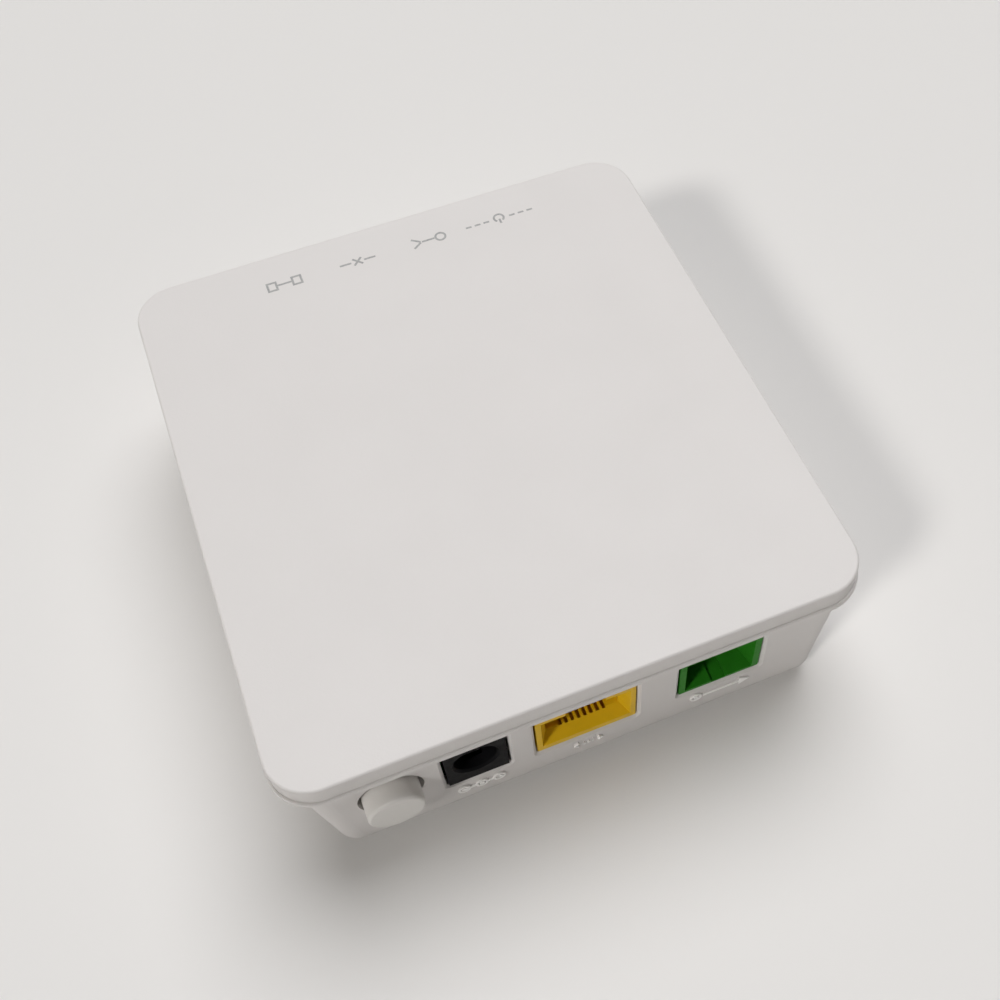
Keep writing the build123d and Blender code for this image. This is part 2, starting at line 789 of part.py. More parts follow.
with BuildPart() as dc_jack_housing:
    with BuildSketch(across(dc_front)):
        with Locations((dc_x, dc_bottom + dc_height / 2)):
            Rectangle(dc_width, dc_height)
    extrude(amount=-dc_length)
    chamfer(dc_jack_housing.edges().filter_by(Axis.Y).group_by(Axis.Z)[-1], 0.8)
    # The rear of the housing is lower than its barrel
    with BuildSketch(across(dc_bore_end + 1.5)):
        with Locations((dc_x, dc_bottom + dc_height)):
            Rectangle(dc_width, 3.0)
    extrude(amount=-dc_length, mode=Mode.SUBTRACT)
    # Runners that stand on the board
    with BuildSketch(Plane.XY.offset(board_top)):
        with Locations((dc_x, (port_inner + dc_back) / 2 + 0.5)):
            with GridLocations(dc_width - 2.0, 0, 2, 1):
                Rectangle(1.4, dc_back - port_inner - 1.5)
    extrude(amount=dc_rise)
    with BuildSketch(across(dc_front)):
        with Locations((dc_x, dc_hole_z)):
            Circle(dc_bore_radius)
    extrude(amount=-dc_bore_depth, mode=Mode.SUBTRACT)
    chamfer(
        dc_jack_housing.edges().group_by(Axis.Y)[0].filter_by(GeomType.CIRCLE), 0.35
    )
    with BuildSketch(across(dc_bore_end)):
        with Locations((dc_x, dc_hole_z)):
            Circle(dc_pin_shoulder + touch_gap)
    extrude(amount=-dc_length, mode=Mode.SUBTRACT)
    # Slot under the bore for the spring leaf and its tail
    with BuildSketch(across(dc_front + 2.0)):
        with Locations((dc_x, (dc_bottom + dc_hole_z) / 2)):
            Rectangle(dc_tail_width + 0.4, dc_hole_z - dc_bottom)
    extrude(amount=-(dc_bore_depth - 3.0), mode=Mode.SUBTRACT)
dc_jack_housing.part.label = "dc_jack_housing"
export_step(dc_jack_housing.part, "parts/dc_jack_housing.step")

with BuildPart() as dc_jack_pin:
    with BuildSketch(across(dc_pin_tip)):
        with Locations((dc_x, dc_hole_z)):
            Circle(dc_pin_radius)
    extrude(amount=-(dc_back - dc_pin_tip))
    fillet(dc_jack_pin.edges().group_by(Axis.Y)[0], dc_pin_radius * 0.6)
    with BuildSketch(across(dc_bore_end)):
        with Locations((dc_x, dc_hole_z)):
            Circle(dc_pin_shoulder)
    extrude(amount=-(dc_back - dc_bore_end))
    # Tail blade down the back of the housing and through the board
    with BuildSketch(Plane.XY.offset(dc_hole_z + dc_pin_shoulder)):
        with Locations((dc_x, dc_back + 0.35)):
            Rectangle(dc_tail_width, 0.6)
    extrude(amount=-(dc_hole_z + dc_pin_shoulder - board_top - 1.0))
    with BuildSketch(across(dc_back)):
        with Locations((dc_x, dc_hole_z)):
            Circle(dc_pin_shoulder)
    extrude(amount=-0.35)
dc_jack_pin.part.label = "dc_jack_pin"
export_step(dc_jack_pin.part, "parts/dc_jack_pin.step")

with BuildPart() as dc_jack_leaf:
    with BuildSketch(Plane.YZ.offset(dc_x)):
        with BuildLine():
            FilletPolyline(
                (dc_tail_ys[0], board_bottom - pin_below_board),
                (dc_tail_ys[0], dc_leaf_z),
                (dc_front + 5.5, dc_hole_z - dc_bore_radius + 0.35),
                (dc_front + 3.0, dc_leaf_z + 0.4),
                radius=0.5,
            )
        trace(line_width=dc_leaf_thick)
    extrude(amount=dc_leaf_width / 2, both=True)
dc_jack_leaf.part.label = "dc_jack_leaf"
export_step(dc_jack_leaf.part, "parts/dc_jack_leaf.step")

# LAN jack
lan_top = board_top + lan_height
comb_bottom = lan_floor - 1.4
wire_low = comb_bottom + 0.35
carrier_gap = 0.1
carrier_front = lan_front + lan_depth
carrier_width = 12.6
carrier_bottom = lan_floor - 0.2
carrier_top = lan_top - 1.4

with BuildPart() as lan_jack_housing:
    with BuildSketch(across(lan_front)):
        with Locations((lan_x, board_top + lan_height / 2)):
            Rectangle(lan_width, lan_height)
    extrude(amount=-lan_length)
    fillet(lan_jack_housing.edges().filter_by(Axis.Y), 0.3)
    with BuildSketch(across(lan_front)):
        with Locations((lan_x, lan_shoulder_z)):
            Rectangle(lan_mouth_width, lan_mouth_height, align=(Align.CENTER, Align.MAX))
            Rectangle(lan_latch_width, lan_latch_height, align=(Align.CENTER, Align.MIN))
        with Locations((lan_x, lan_shoulder_z + lan_latch_height)):
            Rectangle(lan_tip_width, lan_tip_height, align=(Align.CENTER, Align.MIN))
    extrude(amount=-lan_depth, mode=Mode.SUBTRACT)
    # Sloping lead-in round the mouth's sides and floor
    for depth, flare in ((0.0, lan_lead_in), (lan_lead_depth, 0.0)):
        with BuildSketch(across(lan_front + depth)):
            with Locations((lan_x, lan_shoulder_z)):
                Rectangle(
                    lan_mouth_width + 2 * flare,
                    lan_mouth_height + flare,
                    align=(Align.CENTER, Align.MAX),
                )
    loft(mode=Mode.SUBTRACT)
    # Comb slots in the floor, one for each contact
    with BuildSketch(across(lan_front + comb_from_front)):
        with Locations(*[(x, comb_bottom) for x in lan_contact_xs]):
            Rectangle(comb_slot, lan_floor - comb_bottom, align=(Align.CENTER, Align.MIN))
    extrude(amount=-(lan_length - comb_from_front), mode=Mode.SUBTRACT)
    # Rear pocket for the contact carrier, and room below it for the tails
    with BuildSketch(across(carrier_front)):
        with Locations((lan_x, carrier_bottom)):
            Rectangle(
                carrier_width + 2 * carrier_gap,
                carrier_top - carrier_bottom + carrier_gap,
                align=(Align.CENTER, Align.MIN),
            )
    extrude(amount=-(lan_length - lan_depth), mode=Mode.SUBTRACT)
    with BuildSketch(Plane.XY.offset(board_top)):
        with Locations((lan_x, lan_back - 1.6)):
            Rectangle(contact_pitch * contact_count + 1.0, 3.4 + 2 * contact_wire)
    extrude(amount=carrier_bottom - board_top, mode=Mode.SUBTRACT)
    # Pegs that locate the housing in the board
    with BuildSketch(Plane.XY.offset(board_top)):
        with Locations((lan_x - lan_peg_x, lan_peg_y), (lan_x + lan_peg_x, lan_peg_y)):
            Circle(lan_peg_radius)
    extrude(amount=-(board_thick + 0.6))
lan_jack_housing.part.label = "lan_jack_housing"
export_step(lan_jack_housing.part, "parts/lan_jack_housing.step")

with BuildPart() as lan_contact_carrier:
    with BuildSketch(across(carrier_front + carrier_gap)):
        with Locations((lan_x, carrier_bottom)):
            Rectangle(
                carrier_width, carrier_top - carrier_bottom, align=(Align.CENTER, Align.MIN)
            )
    extrude(amount=-(lan_length - lan_depth - carrier_gap))
    # Comb at its front that keeps the free ends of the wires apart
    with BuildSketch(across(carrier_front + carrier_gap)):
        with Locations(*[(x, carrier_bottom) for x in lan_contact_xs]):
            Rectangle(comb_slot, 5.2, align=(Align.CENTER, Align.MIN))
    extrude(amount=-1.4, mode=Mode.SUBTRACT)
lan_contact_carrier.part.label = "lan_contact_carrier"
export_step(lan_contact_carrier.part, "parts/lan_contact_carrier.step")

with BuildPart() as lan_contacts:
    for x, tail_y in zip(lan_contact_xs, lan_tail_ys):
        with BuildSketch(Plane.YZ.offset(x)):
            with BuildLine():
                FilletPolyline(
                    (tail_y, board_bottom - pin_below_board),
                    (tail_y, wire_low),
                    (lan_front + lan_lead_depth + 0.9, wire_low),
                    (carrier_front + 1.0, lan_floor + 3.2),
                    radius=0.3,
                )
            trace(line_width=contact_wire)
        extrude(amount=contact_wire / 2, both=True)
lan_contacts.part.label = "lan_contacts"
export_step(lan_contacts.part, "parts/lan_contacts.step")

# Optical socket
optical_cavity_end = optical_back - optical_back_wall
nose_tip = optical_front + nose_setback
clip_arm_thick = 0.8
clip_arm_height = 3.6
clip_arm_x = optical_bore_width / 2 - clip_arm_thick / 2 - touch_gap
clip_arm_front = optical_front + optical_lead_depth + 1.4

with BuildPart() as optical_socket:
    with BuildSketch(across(optical_front)):
        with Locations((optical_x, optical_z)):
            Rectangle(optical_width, optical_height)
    extrude(amount=-optical_length)
    fillet(optical_socket.edges().filter_by(Axis.Y), 0.3)
    for depth, width, height in (
        (0.0, optical_mouth_width, optical_mouth_height),
        (optical_lead_depth, optical_bore_width, optical_bore_height),
    ):
        with BuildSketch(across(optical_front + depth)):
            with Locations((optical_x, optical_z)):
                Rectangle(width, height)
    loft(mode=Mode.SUBTRACT)
    with BuildSketch(across(optical_front + optical_lead_depth)):
        with Locations((optical_x, optical_z)):
            Rectangle(optical_bore_width, optical_bore_height)
    extrude(
        amount=-(optical_length - optical_lead_depth - optical_back_wall), mode=Mode.SUBTRACT
    )
    # Keyway in the floor of the bore
    with BuildSketch(across(optical_front)):
        with Locations((optical_x, optical_z - optical_bore_height / 2)):
            Rectangle(optical_key_width, optical_key_drop, align=(Align.CENTER, Align.MAX))
    extrude(amount=-optical_key_depth, mode=Mode.SUBTRACT)
    # Hole in the back wall for the transceiver's nose
    with BuildSketch(across(optical_cavity_end)):
        with Locations((optical_x, optical_z)):
            Circle(nose_radius + touch_gap)
    extrude(amount=-optical_back_wall, mode=Mode.SUBTRACT)
    # Pegs down through the board
    with BuildSketch(Plane.XY.offset(optical_z - optical_height / 2)):
        with Locations(
            (optical_x - optical_peg_x, optical_peg_y), (optical_x + optical_peg_x, optical_peg_y)
        ):
            Circle(optical_peg_radius)
    extrude(amount=-(optical_z - optical_height / 2 - board_bottom + 0.6))
    with BuildSketch(Plane.XY.offset(board_top)):
        with Locations((optical_x, optical_back - 2.5)):
            Rectangle(optical_width - 2.0, 3.0)
    extrude(amount=optical_z - optical_height / 2 - board_top + 0.1)
optical_socket.part.label = "optical_socket"
export_step(optical_socket.part, "parts/optical_socket.step")

with BuildPart() as optical_latch_clip:
    # Plate against the back of the cavity, with two hooked arms along its sides
    with BuildSketch(across(optical_cavity_end)):
        with Locations((optical_x, optical_z)):
            Rectangle(optical_bore_width - 2 * touch_gap, optical_bore_height - 1.0)
            Circle(nose_radius + touch_gap, mode=Mode.SUBTRACT)
    extrude(amount=1.0)
    for side in (-1, 1):
        with BuildSketch(across(optical_cavity_end)):
            with Locations((optical_x + side * clip_arm_x, optical_z)):
                Rectangle(clip_arm_thick, clip_arm_height)
        extrude(amount=optical_cavity_end - clip_arm_front)
        with BuildSketch(across(clip_arm_front)):
            with Locations((optical_x + side * (clip_arm_x - clip_arm_thick / 2), optical_z)):
                Rectangle(clip_arm_thick, clip_arm_height)
        extrude(amount=-1.2)
optical_latch_clip.part.label = "optical_latch_clip"
export_step(optical_latch_clip.part, "parts/optical_latch_clip.step")

with BuildPart() as ferrule_sleeve:
    with BuildSketch(across(nose_tip)):
        with Locations((optical_x, optical_z)):
            Circle(sleeve_radius)
            Circle(ferrule_radius, mode=Mode.SUBTRACT)
    extrude(amount=-sleeve_length)
ferrule_sleeve.part.label = "ferrule_sleeve"
export_step(ferrule_sleeve.part, "parts/ferrule_sleeve.step")

with BuildPart() as fibre_stub:
    with BuildSketch(across(nose_tip + sleeve_length)):
        with Locations((optical_x, optical_z)):
            Circle(sleeve_radius)
    extrude(amount=-2.0)
fibre_stub.part.label = "fibre_stub"
export_step(fibre_stub.part, "parts/fibre_stub.step")

with BuildPart() as transceiver_body:
    with BuildSketch(across(optical_back)):
        with Locations((optical_x, optical_z)):
            RectangleRounded(transceiver_side, transceiver_side, 0.8)
    extrude(amount=-transceiver_length)
    with BuildSketch(across(nose_tip)):
        with Locations((optical_x, optical_z)):
            Circle(nose_radius)
    extrude(amount=-(optical_back - nose_tip))
    with BuildSketch(across(nose_tip)):
        with Locations((optical_x, optical_z)):
            Circle(sleeve_radius + touch_gap)
    extrude(amount=-(sleeve_length + 2.0 + touch_gap), mode=Mode.SUBTRACT)
transceiver_body.part.label = "transceiver_body"
export_step(transceiver_body.part, "parts/transceiver_body.step")

with BuildPart() as laser_can:
    with BuildSketch(across(transceiver_back)):
        with Locations((optical_x, optical_z)):
            Circle(can_radius)
    extrude(amount=-can_length)
    with BuildSketch(across(transceiver_back + can_length)):
        with Locations((optical_x, optical_z)):
            Circle(can_rim_radius)
    extrude(amount=-can_rim)
laser_can.part.label = "laser_can"
export_step(laser_can.part, "parts/laser_can.step")

laser_lead_start = transceiver_back + can_length + can_rim
with BuildPart() as laser_leads:
    for x in (-1.0, 0.0, 1.0):
        with BuildSketch(Plane.YZ.offset(optical_x + x)):
            with BuildLine():
                FilletPolyline(
                    (laser_lead_start, optical_z),
                    (laser_lead_start + 2.0, optical_z),
                    (laser_lead_start + 2.0, board_top + lead_radius),
                    (laser_lead_start + 3.6, board_top + lead_radius),
                    radius=0.5,
                )
            trace(line_width=2 * lead_radius)
        extrude(amount=lead_radius, both=True)
laser_leads.part.label = "laser_leads"
export_step(laser_leads.part, "parts/laser_leads.step")

with BuildPart() as photodiode_can:
    with BuildSketch(Plane.YZ.offset(photodiode_face)):
        with Locations((photodiode_y, optical_z)):
            Circle(can_radius)
    extrude(amount=can_length - 1.0)
    with BuildSketch(Plane.YZ.offset(photodiode_face + can_length - 1.0)):
        with Locations((photodiode_y, optical_z)):
            Circle(can_rim_radius)
    extrude(amount=can_rim)
photodiode_can.part.label = "photodiode_can"
export_step(photodiode_can.part, "parts/photodiode_can.step")

photodiode_lead_start = photodiode_face + can_length - 1.0 + can_rim
with BuildPart() as photodiode_leads:
    for y in (-1.0, 0.0, 1.0):
        with BuildSketch(across(photodiode_y + y)):
            with BuildLine():
                FilletPolyline(
                    (photodiode_lead_start, optical_z),
                    (photodiode_lead_start + 1.4, optical_z),
                    (photodiode_lead_start + 1.4, board_top + lead_radius),
                    (photodiode_lead_start + 2.6, board_top + lead_radius),
                    radius=0.5,
                )
            trace(line_width=2 * lead_radius)
        extrude(amount=lead_radius, both=True)
photodiode_leads.part.label = "photodiode_leads"
export_step(photodiode_leads.part, "parts/photodiode_leads.step")

# Chips and other board parts
def board_row(share):
    """Y of a place on the board, as a share of the way from the LAN jack to the indicators."""
    return lan_back + (indicator_y - lan_back) * share


# Each block: middle X, board row, width, depth, height
board_blocks = {
    "main_processor": (2.0, 0.53, 17.0, 17.0, 1.4),
    "memory_chip": (-20.0, 0.56, 9.0, 13.0, 1.1),
    "flash_chip": (19.0, 0.735, 8.0, 6.0, 0.9),
    "laser_driver": (26.0, 0.49, 5.0, 5.0, 0.9),
    "lan_transformer": (0.0, 0.134, 12.7, 9.4, 5.0),
    "regulator_input": (-15.0, 0.31, 4.0, 5.0, 1.5),
    "regulator_core": (-31.0, 0.354, 3.0, 3.0, 1.0),
    "crystal": (17.4, 0.603, 3.2, 2.5, 0.8),
    "input_fuse": (-24.0, 0.068, 3.2, 1.6, 1.0),
}
for name, (x, row, width, depth, height) in board_blocks.items():
    with BuildPart() as block:
        with BuildSketch(Plane.XY.offset(board_top)):
            with Locations((x, board_row(row))):
                Rectangle(width, depth)
        extrude(amount=height)
        chamfer(block.edges().group_by(Axis.Z)[-1], 0.15)
    block.part.label = name
    export_step(block.part, f"parts/{name}.step")

inductor_places = {"input_inductor": (-11.0, 0.134), "core_inductor": (-23.5, 0.325)}
for name, (x, row) in inductor_places.items():
    with BuildPart() as inductor:
        with BuildSketch(Plane.XY.offset(board_top)):
            with Locations((x, board_row(row))):
                RectangleRounded(inductor_side, inductor_side, inductor_side / 5)
        extrude(amount=inductor_height)
        fillet(inductor.edges().group_by(Axis.Z)[-1], 0.4)
    inductor.part.label = name
    export_step(inductor.part, f"parts/{name}.step")

# Each capacitor: middle X, board row, radius, height; it stands on a square foot
capacitor_places = {
    "input_capacitor": (-19.0, 0.163, 3.15, 8.0),
    "output_capacitor": (-27.0, 0.185, 2.5, 6.5),
}
capacitor_foot = 0.8
for name, (x, row, radius, height) in capacitor_places.items():
    with BuildPart() as capacitor:
        with BuildSketch(Plane.XY.offset(board_top)):
            with Locations((x, board_row(row))):
                Rectangle(2 * radius + 0.3, 2 * radius + 0.3)
        extrude(amount=capacitor_foot)
        with BuildSketch(Plane.XY.offset(board_top + capacitor_foot)):
            with Locations((x, board_row(row))):
                Circle(radius)
        extrude(amount=height - capacitor_foot)
        fillet(capacitor.edges().group_by(Axis.Z)[-1], 0.4)
    capacitor.part.label = name
    export_step(capacitor.part, f"parts/{name}.step")

with BuildPart() as chip_passives:
    with BuildSketch(Plane.XY.offset(board_top)):
        with Locations((-10.5, board_row(0.53)), (14.0, board_row(0.5))):
            with GridLocations(passive_column_pitch, passive_row_pitch, 2, 7):
                Rectangle(passive_width, passive_length)
        with Locations((2.0, board_row(0.72)), (2.0, board_row(0.31))):
            with GridLocations(passive_row_pitch, passive_column_pitch, 6, 2):
                Rectangle(passive_length, passive_width)
    extrude(amount=passive_height)
chip_passives.part.label = "chip_passives"
export_step(chip_passives.part, "parts/chip_passives.step")

processor_x = board_blocks["main_processor"][0]
processor_y = board_row(board_blocks["main_processor"][1])
pad_bottom = board_top + board_blocks["main_processor"][4]
sink_bottom = pad_bottom + pad_thick

with BuildPart() as thermal_pad:
    with BuildSketch(Plane.XY.offset(pad_bottom)):
        with Locations((processor_x, processor_y)):
            Rectangle(pad_side, pad_side)
    extrude(amount=pad_thick)
thermal_pad.part.label = "thermal_pad"
export_step(thermal_pad.part, "parts/thermal_pad.step")

with BuildPart() as heat_sink:
    with BuildSketch(Plane.XY.offset(sink_bottom)):
        with Locations((processor_x, processor_y)):
            Rectangle(sink_side, sink_side)
    extrude(amount=sink_base)
    with BuildSketch(Plane.XY.offset(sink_bottom + sink_base)):
        with Locations((processor_x, processor_y)):
            with GridLocations(sink_fin_pitch, 0, sink_fin_count, 1):
                Rectangle(sink_fin, sink_side)
    extrude(amount=sink_fin_height)
heat_sink.part.label = "heat_sink"
export_step(heat_sink.part, "parts/heat_sink.step")

shield_x = board_blocks["laser_driver"][0]
shield_y = board_row(board_blocks["laser_driver"][1])
with BuildPart() as shield_can:
    with BuildSketch(Plane.XY.offset(board_top)):
        with Locations((shield_x, shield_y)):
            RectangleRounded(shield_side, shield_side, 0.6)
    extrude(amount=shield_height)
    with BuildSketch(Plane.XY.offset(board_top)):
        with Locations((shield_x, shield_y)):
            RectangleRounded(
                shield_side - 2 * shield_sheet, shield_side - 2 * shield_sheet, 0.6 - shield_sheet
            )
    extrude(amount=shield_height - shield_sheet, mode=Mode.SUBTRACT)
    with BuildSketch(Plane.XY.offset(board_top + shield_height - shield_sheet)):
        with Locations((shield_x, shield_y)):
            with GridLocations(shield_hole_pitch, shield_hole_pitch, 3, 3):
                Circle(shield_hole_radius)
    extrude(amount=shield_sheet, mode=Mode.SUBTRACT)
shield_can.part.label = "shield_can"
export_step(shield_can.part, "parts/shield_can.step")

# Indicators and light guide
for name, x in zip(indicator_names, indicator_xs):
    with BuildPart() as led:
        with BuildSketch(Plane.XY.offset(board_top)):
            with Locations((x, indicator_y)):
                Rectangle(led_width, led_depth)
        extrude(amount=led_height / 2)
        with BuildSketch(Plane.XY.offset(board_top + led_height / 2)):
            with Locations((x, indicator_y)):
                Rectangle(led_width * 0.7, led_depth)
        extrude(amount=led_height / 2)
    led.part.label = f"led_{name}"
    export_step(led.part, f"parts/led_{name}.step")

guide_foot = board_top + led_height + guide_above_led
guide_tip_height = indicator_window_height - 2 * guide_gap
guide_arm_top = indicator_window_z + guide_tip_height / 2
guide_bar_top = cover_ceiling - guide_boss_height
with BuildPart() as light_guide:
    for x in indicator_xs:
        with BuildSketch(Plane.XY.offset(guide_foot)):
            with Locations((x, indicator_y)):
                Rectangle(guide_width, guide_stem)
        extrude(amount=guide_arm_top - guide_foot)
        with BuildSketch(across(cover_back)):
            with Locations((x, indicator_window_z)):
                Rectangle(guide_width, guide_tip_height)
        extrude(amount=cover_back - indicator_y)
    with BuildSketch(Plane.XY.offset(guide_bar_top)):
        with Locations((0, indicator_y)):
            Rectangle(3 * indicator_pitch, guide_stem)
    extrude(amount=-guide_stem)
    with BuildSketch(Plane.XY.offset(guide_bar_top)):
        with GridLocations(2 * indicator_pitch, 0, 2, 1):
            with Locations((0, indicator_y)):
                Circle(guide_peg_hole_radius - touch_gap)
    extrude(amount=2.0)
light_guide.part.label = "light_guide"
export_step(light_guide.part, "parts/light_guide.step")

# Reset switch
reset_z = board_top + reset_rise
reset_face = -(case_width / 2 - side_inset(reset_z) - wall) + 1.6

with BuildPart() as reset_switch_body:
    with BuildSketch(Plane.XY.offset(board_top)):
        with Locations((reset_face + reset_body_depth / 2, reset_y)):
            Rectangle(reset_body_depth, reset_body_width)
    extrude(amount=reset_body_height)
    chamfer(reset_switch_body.edges().group_by(Axis.Z)[-1], 0.3)
    with BuildSketch(Plane.YZ.offset(reset_face)):
        with Locations((reset_y, reset_z)):
            Circle(reset_plunger_radius + touch_gap)
    extrude(amount=reset_body_depth / 2, mode=Mode.SUBTRACT)
reset_switch_body.part.label = "reset_switch_body"
export_step(reset_switch_body.part, "parts/reset_switch_body.step")

with BuildPart() as reset_plunger:
    with BuildSketch(Plane.YZ.offset(reset_face - reset_plunger_proud)):
        with Locations((reset_y, reset_z)):
            Circle(reset_plunger_radius)
    extrude(amount=reset_plunger_proud + reset_body_depth / 2 - reset_travel - touch_gap)
    fillet(reset_plunger.edges().group_by(Axis.X)[0], 0.2)
reset_plunger.part.label = "reset_plunger"
export_step(reset_plunger.part, "parts/reset_plunger.step")
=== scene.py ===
import json
import math

import bmesh
import bpy
from mathutils import Matrix, Vector


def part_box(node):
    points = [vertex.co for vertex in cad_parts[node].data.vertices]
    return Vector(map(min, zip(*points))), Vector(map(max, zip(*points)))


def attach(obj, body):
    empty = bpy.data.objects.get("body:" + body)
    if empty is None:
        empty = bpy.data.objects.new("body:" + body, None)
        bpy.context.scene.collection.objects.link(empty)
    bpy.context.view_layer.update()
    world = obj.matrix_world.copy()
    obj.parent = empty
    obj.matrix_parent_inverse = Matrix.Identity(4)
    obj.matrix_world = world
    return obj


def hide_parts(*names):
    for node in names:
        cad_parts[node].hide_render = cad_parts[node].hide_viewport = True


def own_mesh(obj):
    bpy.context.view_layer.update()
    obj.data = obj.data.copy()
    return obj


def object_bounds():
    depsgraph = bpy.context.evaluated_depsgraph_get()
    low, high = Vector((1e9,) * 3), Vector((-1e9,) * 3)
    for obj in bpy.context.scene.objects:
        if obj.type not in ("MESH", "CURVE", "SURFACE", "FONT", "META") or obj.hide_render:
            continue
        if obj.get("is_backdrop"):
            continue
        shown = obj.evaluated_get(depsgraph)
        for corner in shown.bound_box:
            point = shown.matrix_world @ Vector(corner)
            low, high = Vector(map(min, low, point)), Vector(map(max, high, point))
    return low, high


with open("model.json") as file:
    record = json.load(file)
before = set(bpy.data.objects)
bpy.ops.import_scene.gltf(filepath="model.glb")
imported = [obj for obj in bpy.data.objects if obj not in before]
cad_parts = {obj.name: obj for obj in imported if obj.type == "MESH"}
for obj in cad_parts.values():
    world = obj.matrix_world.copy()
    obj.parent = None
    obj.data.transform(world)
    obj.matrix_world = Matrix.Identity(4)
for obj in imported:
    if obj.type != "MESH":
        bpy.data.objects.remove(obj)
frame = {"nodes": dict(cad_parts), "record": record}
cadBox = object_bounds()
nodes = frame["nodes"]
mm = 0.001
print("frame loaded with", len(nodes), "parts")


# helpers that every material uses
def startMaterial(name, colour, roughness, metallic=0.0):
    material = bpy.data.materials.new(name)
    material.use_nodes = True
    tree = material.node_tree
    shader = tree.nodes["Principled BSDF"]
    shader.inputs["Base Color"].default_value = (*colour, 1)
    shader.inputs["Roughness"].default_value = roughness
    shader.inputs["Metallic"].default_value = metallic
    coords = tree.nodes.new("ShaderNodeTexCoord")
    return material, tree, shader, coords.outputs["Object"]


def addNoise(tree, coords, size, detail=3.0, roughness=0.55, stretch=None):
    noise = tree.nodes.new("ShaderNodeTexNoise")
    noise.inputs["Scale"].default_value = 1 / size
    noise.inputs["Detail"].default_value = detail
    noise.inputs["Roughness"].default_value = roughness
    if stretch:
        mapping = tree.nodes.new("ShaderNodeMapping")
        mapping.inputs["Scale"].default_value = stretch
        tree.links.new(coords, mapping.inputs["Vector"])
        coords = mapping.outputs["Vector"]
    tree.links.new(coords, noise.inputs["Vector"])
    return noise.outputs["Fac"]


def spread(tree, value, low, high, fromLow=0.3, fromHigh=0.7):
    ranged = tree.nodes.new("ShaderNodeMapRange")
    ranged.inputs["From Min"].default_value = fromLow
    ranged.inputs["From Max"].default_value = fromHigh
    ranged.inputs["To Min"].default_value = low
    ranged.inputs["To Max"].default_value = high
    tree.links.new(value, ranged.inputs["Value"])
    return ranged.outputs["Result"]


def mixColours(tree, amount, first, second):  # a colour or a socket for each
    mix = tree.nodes.new("ShaderNodeMix")
    mix.data_type = "RGBA"
    for socket, colour in ((mix.inputs[6], first), (mix.inputs[7], second)):
        if isinstance(colour, bpy.types.NodeSocket):
            tree.links.new(colour, socket)
        else:
            socket.default_value = (*colour, 1)
    tree.links.new(amount, mix.inputs[0])
    return mix.outputs[2]


def addBump(tree, shader, height, distance, strength=1.0):
    bump = tree.nodes.new("ShaderNodeBump")
    bump.inputs["Distance"].default_value = distance
    bump.inputs["Strength"].default_value = strength
    tree.links.new(height, bump.inputs["Height"])
    before = shader.inputs["Normal"].links
    if before:
        tree.links.new(before[0].from_socket, bump.inputs["Normal"])
    tree.links.new(bump.outputs["Normal"], shader.inputs["Normal"])


def edgeMask(tree, radius):  # white where an edge turns within this radius
    bevel = tree.nodes.new("ShaderNodeBevel")
    bevel.samples = 4
    bevel.inputs["Radius"].default_value = radius
    geometry = tree.nodes.new("ShaderNodeNewGeometry")
    dot = tree.nodes.new("ShaderNodeVectorMath")
    dot.operation = "DOT_PRODUCT"
    tree.links.new(bevel.outputs["Normal"], dot.inputs[0])
    tree.links.new(geometry.outputs["Normal"], dot.inputs[1])
    return spread(tree, dot.outputs["Value"], 1.0, 0.0, fromLow=0.80, fromHigh=0.995)


def scaled(colour, factor):  # a lighter or darker tone of the same colour
    return tuple(min(1.0, channel * factor) for channel in colour)


def paintedHighlightMask(tree, coords, look):  # painted highlight: white on what stands out of the port face, below a height
    split = tree.nodes.new("ShaderNodeSeparateXYZ")
    tree.links.new(coords, split.inputs["Vector"])
    front, top = look["faceY"], look["raisedTop"]
    ahead = spread(
        tree, split.outputs["Y"], look["raised"], 0,
        fromLow=front - look["raisedFull"], fromHigh=front - look["raisedFrom"],
    )
    below = spread(tree, split.outputs["Z"], 1, 0, fromLow=top, fromHigh=top + look["raisedFade"])
    both = tree.nodes.new("ShaderNodeMath")
    both.operation = "MULTIPLY"
    tree.links.new(ahead, both.inputs[0])
    tree.links.new(below, both.inputs[1])
    return both.outputs["Value"]


# moulded plastics have a mottled colour, a spark-eroded grain and rubbed edges
def mouldedPlastic(name, look):
    colour = look["colour"]
    material, tree, shader, coords = startMaterial(name, colour, look["roughness"][0])
    cloud = addNoise(tree, coords, look["cloudSize"], detail=3.0)
    base = mixColours(
        tree, spread(tree, cloud, 0, 1),
        scaled(colour, 1 - look["mottle"]), scaled(colour, 1 + look["mottle"]),
    )
    speck = addNoise(tree, coords, look["grainSize"] * look["speckShare"], detail=2.0)
    specks = spread(tree, speck, 0, look["speckle"], fromLow=0.55, fromHigh=0.8)
    base = mixColours(tree, specks, base, look["speckColour"])
    rubbed = spread(tree, edgeMask(tree, look["edge"]), 0, look["wear"], fromLow=0, fromHigh=1)
    base = mixColours(tree, rubbed, base, look["wearColour"])
    if look.get("raised"):  # painted highlight on the tops of the raised marks on the port face
        base = mixColours(tree, paintedHighlightMask(tree, coords, look), base, look["raisedHighlightColour"])
    tree.links.new(base, shader.inputs["Base Color"])
    patch = addNoise(tree, coords, look["cloudSize"] * look["patchShare"], detail=4.0)
    tree.links.new(spread(tree, patch, *look["roughness"]), shader.inputs["Roughness"])
    flow = addNoise(tree, coords, look["flowSize"], detail=2.0)
    addBump(tree, shader, flow, look["flowDepth"])
    pits = tree.nodes.new("ShaderNodeTexVoronoi")
    pits.inputs["Scale"].default_value = 1 / look["grainSize"]
    tree.links.new(coords, pits.inputs["Vector"])
    addBump(tree, shader, pits.outputs["Distance"], look["grainDepth"])
    shader.inputs["Specular IOR Level"].default_value = look["specular"]
    return material


